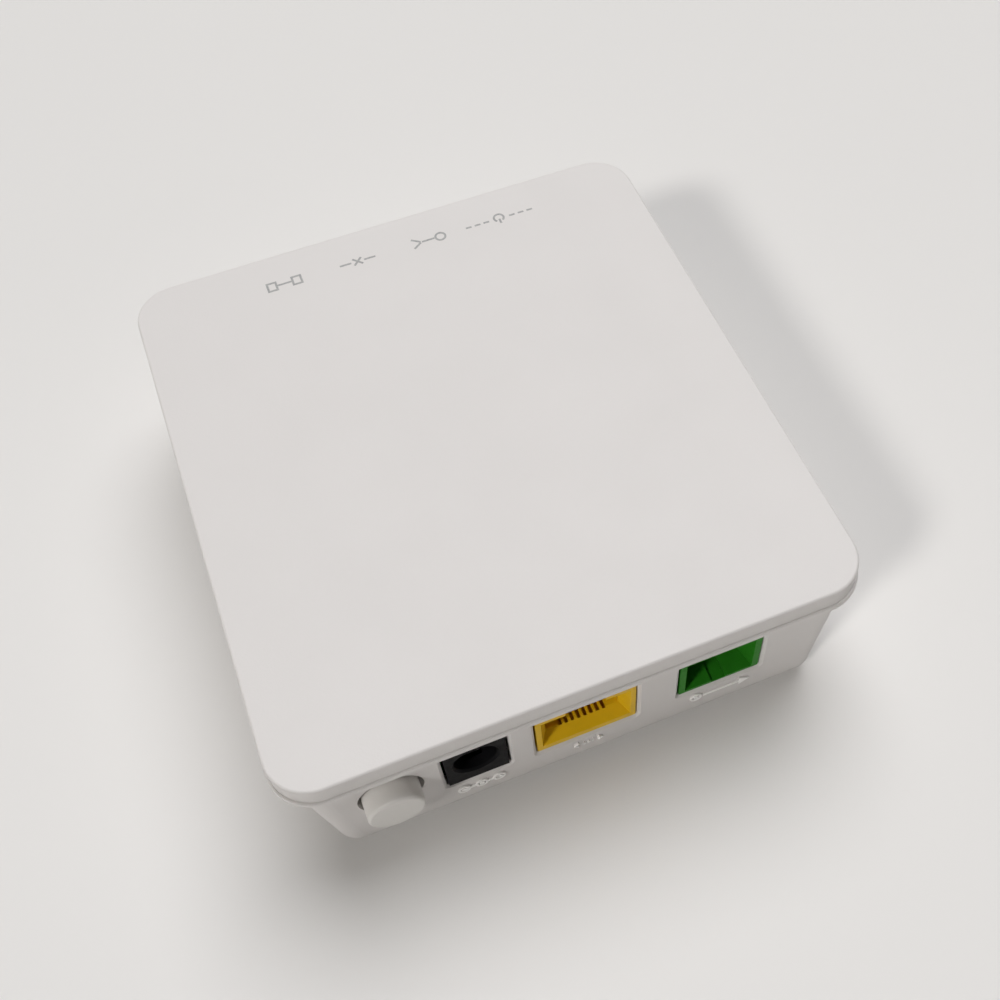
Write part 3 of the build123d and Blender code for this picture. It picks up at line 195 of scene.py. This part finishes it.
shellLook = {
    "colour": (0.715, 0.690, 0.675),
    "mottle": 0.008,
    "cloudSize": 0.022,
    "speckle": 0.10,
    "speckShare": 0.6,  # speck size as a share of the grain's
    "speckColour": (0.56, 0.545, 0.53),
    "roughness": (0.53, 0.60),
    "patchShare": 0.4,  # size of the duller patches as a share of the clouds'
    "flowSize": 0.012,
    "flowDepth": 0.000008,
    "grainSize": 0.00032,
    "grainDepth": 0.000012,
    "edge": 0.0003,
    "wear": 0.35,
    "wearColour": (0.80, 0.78, 0.76),
    "specular": 0.42,
}
baseLook = {
    **shellLook,
    # the raised marks' pale colour is a painted highlight, standing in for light on their tops
    "raised": 1.0,
    "raisedHighlightColour": (0.97, 0.96, 0.94),
    "raisedFrom": 0.1 * mm,  # how far out of the face the marks begin, and are at full strength
    "raisedFull": 0.3 * mm,
    "raisedTop": 20 * mm,
    "raisedFade": 0.5 * mm,
    "faceY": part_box("lan_jack_housing")[0].y - 0.3 * mm,
}
buttonLook = {
    **shellLook,
    "colour": (0.74, 0.72, 0.69),
    "roughness": (0.30, 0.42),
    "grainDepth": 0.000005,
}
jackBlackLook = {
    **shellLook,
    "colour": (0.006, 0.006, 0.007),
    "mottle": 0.12,
    "cloudSize": 0.004,
    "speckle": 0.12,
    "speckColour": (0.014, 0.014, 0.016),
    "roughness": (0.42, 0.56),
    "grainDepth": 0.000008,
    "wear": 0.3,
    "wearColour": (0.02, 0.02, 0.022),
    "edge": 0.0002,
    "specular": 0.07,
}
jackYellowLook = {
    **jackBlackLook,
    "colour": (0.80, 0.50, 0.010),
    "mottle": 0.05,
    "speckColour": (0.66, 0.38, 0.008),
    "roughness": (0.30, 0.42),
    "wear": 0.2,
    "wearColour": (0.88, 0.64, 0.06),
    "specular": 0.25,
}
socketGreenLook = {
    **jackYellowLook,
    "colour": (0.024, 0.21, 0.012),
    "speckColour": (0.017, 0.16, 0.009),
    "roughness": (0.34, 0.46),
    "specular": 0.12,
    "wearColour": (0.07, 0.34, 0.05),
}
clipLook = {
    **jackYellowLook,
    "colour": (0.62, 0.59, 0.50),
    "speckColour": (0.52, 0.49, 0.41),
    "wearColour": (0.72, 0.70, 0.62),
}
plungerLook = {**jackBlackLook, "colour": (0.02, 0.02, 0.02), "roughness": (0.28, 0.4)}
rubberLook = {
    **jackBlackLook,
    "colour": (0.022, 0.022, 0.024),
    "speckColour": (0.05, 0.05, 0.052),
    "roughness": (0.68, 0.86),
    "grainSize": 0.0004,
    "grainDepth": 0.00002,
    "specular": 0.3,
}
chipLook = {
    **jackBlackLook,
    "colour": (0.022, 0.022, 0.023),
    "roughness": (0.5, 0.68),
    "grainSize": 0.00018,
    "grainDepth": 0.000008,
}
passiveLook = {
    **chipLook,
    "colour": (0.26, 0.18, 0.10),
    "mottle": 0.15,
    "cloudSize": 0.0012,
    "speckColour": (0.16, 0.10, 0.05),
    "wearColour": (0.42, 0.36, 0.28),
}
padLook = {
    **rubberLook,
    "colour": (0.18, 0.22, 0.27),
    "speckColour": (0.28, 0.32, 0.38),
    "wear": 0.2,
    "wearColour": (0.26, 0.30, 0.35),
}
ferriteLook = {
    **chipLook,
    "colour": (0.030, 0.030, 0.033),
    "speckColour": (0.08, 0.08, 0.085),
    "roughness": (0.42, 0.6),
    "grainSize": 0.00012,
}

plastics = {
    "shell_white": mouldedPlastic("shellWhite", shellLook),
    "base_shell": mouldedPlastic("shellWhiteBasePaintedHighlight", baseLook),
    "button_white": mouldedPlastic("buttonWhite", buttonLook),
    "jack_black": mouldedPlastic("jackBlack", jackBlackLook),
    "jack_yellow": mouldedPlastic("jackYellow", jackYellowLook),
    "socket_green": mouldedPlastic("socketGreen", socketGreenLook),
    "clip_ivory": mouldedPlastic("clipIvory", clipLook),
    "plunger_black": mouldedPlastic("plungerBlack", plungerLook),
    "foot_rubber": mouldedPlastic("footRubber", rubberLook),
    "chip_black": mouldedPlastic("chipBlack", chipLook),
    "passive_tan": mouldedPlastic("passiveTan", passiveLook),
    "pad_grey": mouldedPlastic("padGrey", padLook),
    "ferrite_grey": mouldedPlastic("ferriteGrey", ferriteLook),
}
print("plastics made:", len(plastics))


# metals have a brushed or turned grain, tarnish and brighter edges
def workedMetal(name, look):
    colour = look["colour"]
    smoothest = look["roughness"][0]
    material, tree, shader, coords = startMaterial(name, colour, smoothest, look["metallic"])
    tarnish = addNoise(tree, coords, look["tarnishSize"], detail=4.0)
    base = mixColours(tree, spread(tree, tarnish, 0, 1), look["tarnishColour"], colour)
    base = mixColours(tree, edgeMask(tree, look["edge"]), base, scaled(colour, look["edgeGain"]))
    tree.links.new(base, shader.inputs["Base Color"])
    strokes = addNoise(
        tree, coords, look["strokeSize"], detail=2.0, roughness=0.6, stretch=look["stretch"],
    )
    tree.links.new(spread(tree, strokes, *look["roughness"]), shader.inputs["Roughness"])
    addBump(tree, shader, strokes, look["strokeDepth"])
    return material


steelLook = {
    "colour": (0.56, 0.56, 0.57),
    "tarnishColour": (0.42, 0.42, 0.44),
    "tarnishSize": 0.0016,
    "metallic": 0.95,
    "roughness": (0.24, 0.42),
    "strokeSize": 0.0003,
    "stretch": (1, 1, 6),
    "strokeDepth": 0.000004,
    "edge": 0.00012,
    "edgeGain": 1.15,  # how much brighter the rubbed edges are
}
goldLook = {
    **steelLook,
    "colour": (0.83, 0.60, 0.20),
    "tarnishColour": (0.62, 0.42, 0.13),
    "roughness": (0.18, 0.34),
    "stretch": (6, 1, 1),
}
tinLook = {
    **steelLook,
    "colour": (0.70, 0.70, 0.69),
    "tarnishColour": (0.52, 0.52, 0.51),
    "roughness": (0.3, 0.48),
}
springLook = {
    **steelLook,
    "colour": (0.42, 0.42, 0.43),
    "tarnishColour": (0.30, 0.29, 0.29),
    "stretch": (1, 4, 1),
}
machinedLook = {
    **steelLook,
    "colour": (0.62, 0.61, 0.58),
    "tarnishColour": (0.50, 0.49, 0.47),
    "stretch": (1, 8, 1),
}
canLook = {
    **steelLook,
    "colour": (0.74, 0.74, 0.75),
    "tarnishColour": (0.62, 0.62, 0.64),
    "stretch": (1, 1, 10),
}
crystalLook = {**steelLook, "colour": (0.72, 0.69, 0.60), "tarnishColour": (0.58, 0.55, 0.48)}
sinkLook = {
    **steelLook,
    "colour": (0.50, 0.50, 0.52),
    "tarnishColour": (0.42, 0.42, 0.44),
    "stretch": (6, 1, 6),
}

metals = {
    "screw_steel": workedMetal("screwSteel", steelLook),
    "contact_gold": workedMetal("contactGold", goldLook),
    "tinned_metal": workedMetal("tinnedMetal", tinLook),
    "spring_steel": workedMetal("springSteel", springLook),
    "machined_metal": workedMetal("machinedMetal", machinedLook),
    "can_metal": workedMetal("canMetal", canLook),
    "crystal_metal": workedMetal("crystalMetal", crystalLook),
    "sink_aluminium": workedMetal("sinkAluminium", sinkLook),
}
print("metals made:", len(metals))


# solder resist, with copper tracks that show under it
boardLook = {
    "resist": (0.012, 0.10, 0.035),
    "overCopper": (0.026, 0.19, 0.065),
    "trackPitch": 0.0024,
    "trackJitter": 0.55,
    "trackEdge": (0.10, 0.14),
    "trackDepth": 0.00002,
    "roughness": (0.22, 0.36),
    "dirtSize": 0.008,
    "dirt": 0.25,
    "dirtTone": 0.6,
    "coat": 0.4,
    "coatRoughness": 0.18,
}


def boardResist(look):
    material, tree, shader, coords = startMaterial("boardGreen", look["resist"], look["roughness"][0])
    cells = tree.nodes.new("ShaderNodeTexVoronoi")
    cells.distance = "MANHATTAN"
    cells.feature = "DISTANCE_TO_EDGE"
    cells.inputs["Scale"].default_value = 1 / look["trackPitch"]
    cells.inputs["Randomness"].default_value = look["trackJitter"]
    tree.links.new(coords, cells.inputs["Vector"])
    track = spread(tree, cells.outputs["Distance"], 0, 1, *look["trackEdge"])
    dirt = addNoise(tree, coords, look["dirtSize"], detail=4.0)
    tint = mixColours(tree, track, look["overCopper"], look["resist"])
    grime = spread(tree, dirt, 0, look["dirt"])
    tint = mixColours(tree, grime, tint, scaled(look["resist"], look["dirtTone"]))
    tree.links.new(tint, shader.inputs["Base Color"])
    tree.links.new(spread(tree, dirt, *look["roughness"]), shader.inputs["Roughness"])
    addBump(tree, shader, track, look["trackDepth"])
    shader.inputs["Coat Weight"].default_value = look["coat"]
    shader.inputs["Coat Roughness"].default_value = look["coatRoughness"]
    return material


# ceramic, clear mouldings and film
ceramicLook = {
    "colour": (0.82, 0.80, 0.74),
    "tones": (0.94, 1.03),  # darkest and lightest, as shares of the colour
    "roughness": (0.10, 0.2),
    "cloudSize": 0.001,
    "rippleShare": 0.2,  # ripple size as a share of the clouds'
    "rippleDepth": 0.000003,
    "clear": 0.0,
}
lensLook = {
    **ceramicLook,
    "colour": (0.72, 0.78, 0.64),
    "roughness": (0.14, 0.24),
    "cloudSize": 0.0006,
    "clear": 0.35,
}
guideLook = {
    **ceramicLook,
    "colour": (0.80, 0.83, 0.84),
    "roughness": (0.22, 0.42),
    "cloudSize": 0.0012,
    "clear": 0.55,
}
filmLook = {
    **ceramicLook,
    "colour": (0.74, 0.74, 0.71),
    "roughness": (0.34, 0.46),
    "cloudSize": 0.006,
}


def fineSurface(name, look):
    colour = look["colour"]
    material, tree, shader, coords = startMaterial(name, colour, look["roughness"][0])
    cloud = addNoise(tree, coords, look["cloudSize"], detail=3.0)
    darkest, lightest = (scaled(colour, tone) for tone in look["tones"])
    tint = mixColours(tree, spread(tree, cloud, 0, 1), darkest, lightest)
    tree.links.new(tint, shader.inputs["Base Color"])
    tree.links.new(spread(tree, cloud, *look["roughness"]), shader.inputs["Roughness"])
    ripple = addNoise(tree, coords, look["cloudSize"] * look["rippleShare"], detail=2.0)
    addBump(tree, shader, ripple, look["rippleDepth"])
    shader.inputs["Transmission Weight"].default_value = look["clear"]
    return material


others = {
    "board_green": boardResist(boardLook),
    "ceramic_white": fineSurface("ceramicWhite", ceramicLook),
    "led_lens": fineSurface("ledLens", lensLook),
    "light_guide_clear": fineSurface("guideClear", guideLook),
    "label_film": fineSurface("labelFilm", filmLook),
}
finishes = {**plastics, **metals, **others}

for subpart in frame["record"]["subparts"]:
    node = nodes[subpart["node"]]
    for place in node.material_slots:  # the base has a finish of its own, for the painted highlight on its raised marks
        place.material = finishes.get(subpart["node"], finishes[subpart["material_slot"]])


# printed pictograms on the cover, one over each indicator
printLook = {
    "colour": (0.30, 0.30, 0.30),
    "faded": (0.44, 0.44, 0.43),
    "roughness": 0.6,
    "patchSize": 0.0005,
    "patchDepth": 0.000004,
    "thick": 0.04 * mm,
    "proud": 0.015 * mm,
    "gap": 0.01 * mm,  # keeps bars that meet from sharing a face
    "stroke": 0.38 * mm,
    "fromEdge": 7.3 * mm,
    "height": 2.3 * mm,
}
markLook = {  # lengths are shares of the mark's height, and angles are in radians
    "ring": 0.38,
    "power": {
        "down": 0.08, "gap": 1.3, "bar": 0.48, "barUp": 0.28, "dash": 0.46, "first": 1.05, "step": 0.72,
    },
    "pon": {
        "ringOut": 0.9, "stem": 1.0, "stemOut": 0.08, "arm": 0.78, "armOut": 1.0, "armUp": 0.26,
        "lean": 0.62,
    },
    "los": {"line": 0.9, "lineOut": 0.95, "cross": 0.95, "lean": math.pi / 4},
    "lan": {"wide": 0.66, "tall": 0.78, "out": 0.95},
}


def printInk(look):
    material, tree, shader, coords = startMaterial("printInk", look["colour"], look["roughness"])
    patchy = addNoise(tree, coords, look["patchSize"], detail=4.0)
    tint = mixColours(tree, spread(tree, patchy, 0, 1), look["colour"], look["faded"])
    tree.links.new(tint, shader.inputs["Base Color"])
    addBump(tree, shader, patchy, look["patchDepth"])
    return material


ink = printInk(printLook)
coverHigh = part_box("top_cover")[1]


def addBar(bm, x, y, width, depth, turn=0.0):
    made = bmesh.ops.create_cube(bm, size=1.0)["verts"]
    bmesh.ops.scale(bm, vec=(width, depth, printLook["thick"]), verts=made)
    bmesh.ops.rotate(bm, cent=(0, 0, 0), matrix=Matrix.Rotation(turn, 3, "Z"), verts=made)
    bmesh.ops.translate(bm, vec=(x, y, 0), verts=made)


def addRing(bm, x, y, radius, stroke, gap=0.0, start=0.0):  # comes first, as it moves all there is
    section = bmesh.ops.create_grid(bm, x_segments=1, y_segments=1, size=0.5)["verts"]
    bmesh.ops.rotate(bm, cent=(0, 0, 0), matrix=Matrix.Rotation(math.pi / 2, 3, "X"), verts=section)
    bmesh.ops.scale(bm, vec=(stroke, 1, printLook["thick"]), verts=section)
    bmesh.ops.translate(bm, vec=(radius, 0, 0), verts=section)
    bmesh.ops.rotate(bm, cent=(0, 0, 0), matrix=Matrix.Rotation(start, 3, "Z"), verts=section)
    faces, edges = list(bm.faces), list(bm.edges)
    full = gap == 0.0
    bmesh.ops.spin(
        bm, geom=section + edges + faces, cent=(0, 0, 0), axis=(0, 0, 1), dvec=(0, 0, 0),
        angle=2 * math.pi - gap, steps=40, use_merge=full,
    )
    if full:
        bmesh.ops.delete(bm, geom=faces, context="FACES_ONLY")
    bmesh.ops.translate(bm, vec=(x, y, 0), verts=bm.verts)


def markPower(bm, height, stroke, look):  # an on/off sign between two rows of dashes
    start = math.pi / 2 + look["gap"] / 2
    addRing(bm, 0, -look["down"] * height, markLook["ring"] * height, stroke, look["gap"], start)
    addBar(bm, 0, look["barUp"] * height, stroke, look["bar"] * height)
    for side in (-1, 1):
        for step in range(3):
            out = look["first"] + look["step"] * step
            addBar(bm, side * out * height, 0, look["dash"] * height, stroke)


def markPon(bm, height, stroke, look):  # a ring on a line that forks
    addRing(bm, -look["ringOut"] * height, 0, markLook["ring"] * height, stroke)
    addBar(bm, look["stemOut"] * height, 0, look["stem"] * height, stroke)
    for side in (-1, 1):
        across, up = look["armOut"] * height, side * look["armUp"] * height
        addBar(bm, across, up, look["arm"] * height, stroke, side * look["lean"])


def markLos(bm, height, stroke, look):  # a broken line with a cross in its gap
    for side in (-1, 1):
        addBar(bm, side * look["lineOut"] * height, 0, look["line"] * height, stroke)
    long, lean = look["cross"] * height, look["lean"]
    addBar(bm, 0, 0, long, stroke, lean)
    half = (long - stroke) / 2 - printLook["gap"]
    out = (long - half) / 2
    for side in (-1, 1):
        addBar(bm, side * out * math.cos(lean), -side * out * math.sin(lean), half, stroke, -lean)


def markLan(bm, height, stroke, look):  # two open boxes with a plain line between them
    wide, tall, gap = look["wide"] * height, look["tall"] * height, printLook["gap"]
    for side in (-1, 1):
        middle = side * look["out"] * height
        for end in (-1, 1):
            addBar(bm, middle, end * tall / 2, wide + stroke, stroke)
            addBar(bm, middle + end * wide / 2, 0, stroke, tall - stroke - gap)
    addBar(bm, 0, 0, 2 * look["out"] * height - wide - stroke - 2 * gap, stroke)


def finishMesh(bm, name, material, smooth=False):  # every new piece rides on the case
    bmesh.ops.recalc_face_normals(bm, faces=bm.faces)
    mesh = bpy.data.meshes.new(name)
    bm.to_mesh(mesh)
    bm.free()
    piece = bpy.data.objects.new(name, mesh)
    bpy.context.scene.collection.objects.link(piece)
    mesh.materials.append(material)
    for face in mesh.polygons:
        face.use_smooth = smooth
    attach(piece, "case")
    return piece


printMarks = {"lan": markLan, "los": markLos, "pon": markPon, "power": markPower}
for lamp, draw in printMarks.items():
    lampLow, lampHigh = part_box("led_" + lamp)
    bm = bmesh.new()
    draw(bm, printLook["height"], printLook["stroke"], markLook[lamp])
    bmesh.ops.rotate(bm, cent=(0, 0, 0), matrix=Matrix.Rotation(math.pi, 3, "Z"), verts=bm.verts)
    sunk = coverHigh.z + printLook["proud"] - printLook["thick"] / 2
    place = ((lampLow.x + lampHigh.x) / 2, coverHigh.y - printLook["fromEdge"], sunk)
    bmesh.ops.translate(bm, vec=place, verts=bm.verts)
    finishMesh(bm, "printed_mark_" + lamp, ink)
print("pictograms printed:", len(printMarks))


# plain ruled frame printed on the label underneath
labelLook = {
    "inset": 1.2 * mm,
    "line": 0.22 * mm,
    "rows": (0.30, 0.55, 0.78),  # shares of the label's depth
    "split": 0.62,  # where the first row is divided, as a share of the width
}


def makeLabelPrint(look):
    low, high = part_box("rating_label")
    middle = (low + high) / 2
    width, depth = high.x - low.x - 2 * look["inset"], high.y - low.y - 2 * look["inset"]
    line, gap = look["line"], printLook["gap"]
    bm = bmesh.new()
    for side in (-1, 1):
        addBar(bm, 0, side * depth / 2, width + line, line)
        addBar(bm, side * width / 2, 0, line, depth - line - gap)
    for share in look["rows"]:
        addBar(bm, 0, depth * (share - 0.5), width - line - gap, line)
    lowRow = depth * look["rows"][0] - line
    splitX, splitY = width * (look["split"] - 0.5), (lowRow - depth + line) / 2
    addBar(bm, splitX, splitY, line, lowRow - line - gap)
    sunk = low.z + printLook["thick"] / 2 - printLook["proud"]
    bmesh.ops.translate(bm, vec=(middle.x, middle.y, sunk), verts=bm.verts)
    finishMesh(bm, "label_ruling", ink)


makeLabelPrint(labelLook)
print("label ruled")


# rubber feet: a rounded rim round a shallow dish
footLook = {
    "dish": 0.55,  # this and the rim's two are shares of the radius
    "rimIn": 0.66,
    "rimOut": 0.86,
    "dishDepth": 0.35 * mm,
    "soft": 0.22 * mm,
    "softSteps": 3,
    "steps": 56,
    "level": 0.001 * mm,
    "merge": 0.002 * mm,
    "ringFrom": 0.3,  # rings nearer the middle than this share stay sharp
    "turn": 0.3,  # least angle, in radians, that counts as a turn
}


def isRing(edge, radius, look):  # a level edge where the foot's outline turns
    start, end = (vert.co for vert in edge.verts)
    level = abs(start.z - end.z) < look["level"]
    outer = start.length > look["ringFrom"] * radius
    return level and outer and edge.calc_face_angle() > look["turn"]


def makeFoot(node, look):
    low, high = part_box(node)
    radius, tall = (high.x - low.x) / 2, high.z - low.z
    dish, rimIn, rimOut = (look[share] * radius for share in ("dish", "rimIn", "rimOut"))
    profile = (
        (0, look["dishDepth"]), (dish, look["dishDepth"]), (rimIn, 0), (rimOut, 0),
        (radius, (1 - look["rimOut"]) * radius), (radius, tall), (0, tall),
    )
    bm = bmesh.new()
    corners = [bm.verts.new((across, 0, up)) for across, up in profile]
    lines = [bm.edges.new(pair) for pair in zip(corners, corners[1:])]
    bmesh.ops.spin(
        bm, geom=corners + lines, cent=(0, 0, 0), axis=(0, 0, 1), dvec=(0, 0, 0),
        angle=2 * math.pi, steps=look["steps"], use_merge=True,
    )
    bmesh.ops.remove_doubles(bm, verts=bm.verts, dist=look["merge"])
    bmesh.ops.recalc_face_normals(bm, faces=bm.faces)
    rings = [edge for edge in bm.edges if len(edge.link_faces) == 2 and isRing(edge, radius, look)]
    bmesh.ops.bevel(
        bm, geom=rings, offset=look["soft"], segments=look["softSteps"], profile=0.5,
        affect="EDGES", material=-1, clamp_overlap=True,
    )
    bmesh.ops.translate(bm, vec=((low.x + high.x) / 2, (low.y + high.y) / 2, low.z), verts=bm.verts)
    foot = finishMesh(bm, "moulded_" + node, finishes["foot_rubber"], smooth=True)
    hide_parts(node)


for node in ("foot_front_left", "foot_front_right", "foot_rear_left", "foot_rear_right"):
    makeFoot(node, footLook)
print("feet moulded")


# coil spring behind the power button
coilLook = {
    "joint": "power_button_press",
    "wire": 0.18 * mm,  # radius of the wire
    "turns": 5,
    "turnSteps": 36,
    "wireSteps": 12,
}


def makeCoil(node, look):
    low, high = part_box(node)
    wire, middle = look["wire"], (low + high) / 2
    radius, run = (high.x - low.x) / 2 - wire, high.y - low.y - 2 * wire
    steps = look["turns"] * look["turnSteps"]
    bm = bmesh.new()
    made = bmesh.ops.create_circle(bm, segments=look["wireSteps"], radius=wire, cap_ends=False)
    section = made["verts"]
    bmesh.ops.translate(bm, vec=(radius, 0, 0), verts=section)
    bmesh.ops.spin(
        bm, geom=section + list(bm.edges), cent=(0, 0, 0), axis=(0, 1, 0), dvec=(0, run / steps, 0),
        angle=2 * math.pi * look["turns"], steps=steps, use_merge=False,
    )
    bmesh.ops.holes_fill(bm, edges=[edge for edge in bm.edges if edge.is_boundary], sides=0)
    bmesh.ops.translate(bm, vec=(middle.x, low.y + wire, middle.z), verts=bm.verts)
    coil = finishMesh(bm, "wound_" + node, finishes["spring_steel"], smooth=True)
    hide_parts(node)
    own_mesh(coil)


makeCoil("power_switch_spring", coilLook)
print("spring wound")


# floor, lights and camera
floorLook = {
    "size": 30.0,
    "colour": (0.775, 0.762, 0.745),
    "mottle": 0.01,
    "cloudSize": 0.4,
    "roughness": 0.75,
    "specular": 0.2,
}


def makeFloor(look):
    material, tree, shader, coords = startMaterial("paleFloor", look["colour"], look["roughness"])
    cloud = addNoise(tree, coords, look["cloudSize"], detail=2.0)
    pale = scaled(look["colour"], 1 - look["mottle"])
    paler = scaled(look["colour"], 1 + look["mottle"])
    tint = mixColours(tree, spread(tree, cloud, 0, 1), pale, paler)
    tree.links.new(tint, shader.inputs["Base Color"])
    shader.inputs["Specular IOR Level"].default_value = look["specular"]
    bm = bmesh.new()
    bmesh.ops.create_grid(bm, x_segments=1, y_segments=1, size=look["size"] / 2)
    mesh = bpy.data.meshes.new("floor")
    bm.to_mesh(mesh)
    bm.free()
    mesh.materials.append(material)
    floor = bpy.data.objects.new("floor", mesh)
    bpy.context.scene.collection.objects.link(floor)
    floor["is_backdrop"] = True


sunLook = {  # softness is the width of the light in degrees
    "key": {
        "from": (-1.0, -0.55, 1.0),
        "softness": 10,
        "strength": 1.12,
        "colour": (1.0, 0.98, 0.95),
    },
    "overhead": {
        "from": (0.25, 0.45, 1.0),
        "softness": 50,
        "strength": 2.42,
        "colour": (0.99, 0.99, 1.0),
    },
}
rimLook = {
    "place": (0.62, -0.50, 0.30),
    "aim": (0.04, -0.04, 0.015),
    "size": 0.05,
    "power": 0.12,
    "colour": (1.0, 0.98, 0.95),
}


def aimAt(thing, target):
    thing.rotation_euler = (Vector(target) - thing.location).to_track_quat("-Z", "Y").to_euler()


def placeLamp(name, kind, place, target, colour, power):
    lamp = bpy.data.lights.new(name, kind)
    lamp.energy = power
    lamp.color = colour
    thing = bpy.data.objects.new(name, lamp)
    thing.location = place
    bpy.context.scene.collection.objects.link(thing)
    aimAt(thing, target)
    return lamp


def makeLights(suns, rim):
    for name, look in suns.items():
        lamp = placeLamp(
            name + "Sun", "SUN", look["from"], (0, 0, 0), look["colour"], look["strength"],
        )
        lamp.angle = math.radians(look["softness"])
    lamp = placeLamp("rimLight", "AREA", rim["place"], rim["aim"], rim["colour"], rim["power"])
    lamp.size = rim["size"]


worldLook = {
    "colour": (1.0, 0.95, 0.89),
    "horizon": 0.42,  # strength at the horizon
    "zenith": 0.02,  # strength overhead
    "ends": 0.30,  # height of the direction where the glow ends
}


def makeWorld(look):
    world = bpy.data.worlds.new("studio")
    world.use_nodes = True
    tree = world.node_tree
    backdrop = tree.nodes["Background"]
    backdrop.inputs["Color"].default_value = (*look["colour"], 1)
    coords = tree.nodes.new("ShaderNodeTexCoord")
    split = tree.nodes.new("ShaderNodeSeparateXYZ")
    tree.links.new(coords.outputs["Generated"], split.inputs["Vector"])
    glow = spread(
        tree, split.outputs["Z"], look["horizon"], look["zenith"],
        fromLow=0, fromHigh=look["ends"],
    )
    tree.links.new(glow, backdrop.inputs["Strength"])
    bpy.context.scene.world = world


cameraLook = {
    "place": (-0.02518, -0.11589, 0.18753),
    "right": (0.92618, -0.37645, -0.02184),
    "up": (0.32804, 0.77580, 0.53900),
    "lens": 44.92,
    "shift": (-0.0806, 0.0099),
    "sensor": 36.0,
    "near": 0.005,
    "far": 50.0,
}


def makeCamera(look):
    camera = bpy.data.objects.new("camera", bpy.data.cameras.new("camera"))
    bpy.context.scene.collection.objects.link(camera)
    right, up = Vector(look["right"]).normalized(), Vector(look["up"]).normalized()
    back = right.cross(up)
    turned = Matrix((right, up, back)).transposed().to_4x4()
    camera.matrix_world = Matrix.Translation(look["place"]) @ turned
    camera.data.lens = look["lens"]
    camera.data.sensor_width = look["sensor"]
    camera.data.shift_x, camera.data.shift_y = look["shift"]
    camera.data.clip_start = look["near"]
    camera.data.clip_end = look["far"]
    bpy.context.scene.camera = camera


makeFloor(floorLook)
makeWorld(worldLook)
makeLights(sunLook, rimLook)
makeCamera(cameraLook)
bpy.context.scene.view_settings.view_transform = "Standard"
print("floor, lights and camera set")

bpy.context.view_layer.update()
sizes = {"cad": cadBox, "visual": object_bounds()}
sizes = {name: [[round(float(value), 6) for value in corner] for corner in box] for name, box in sizes.items()}
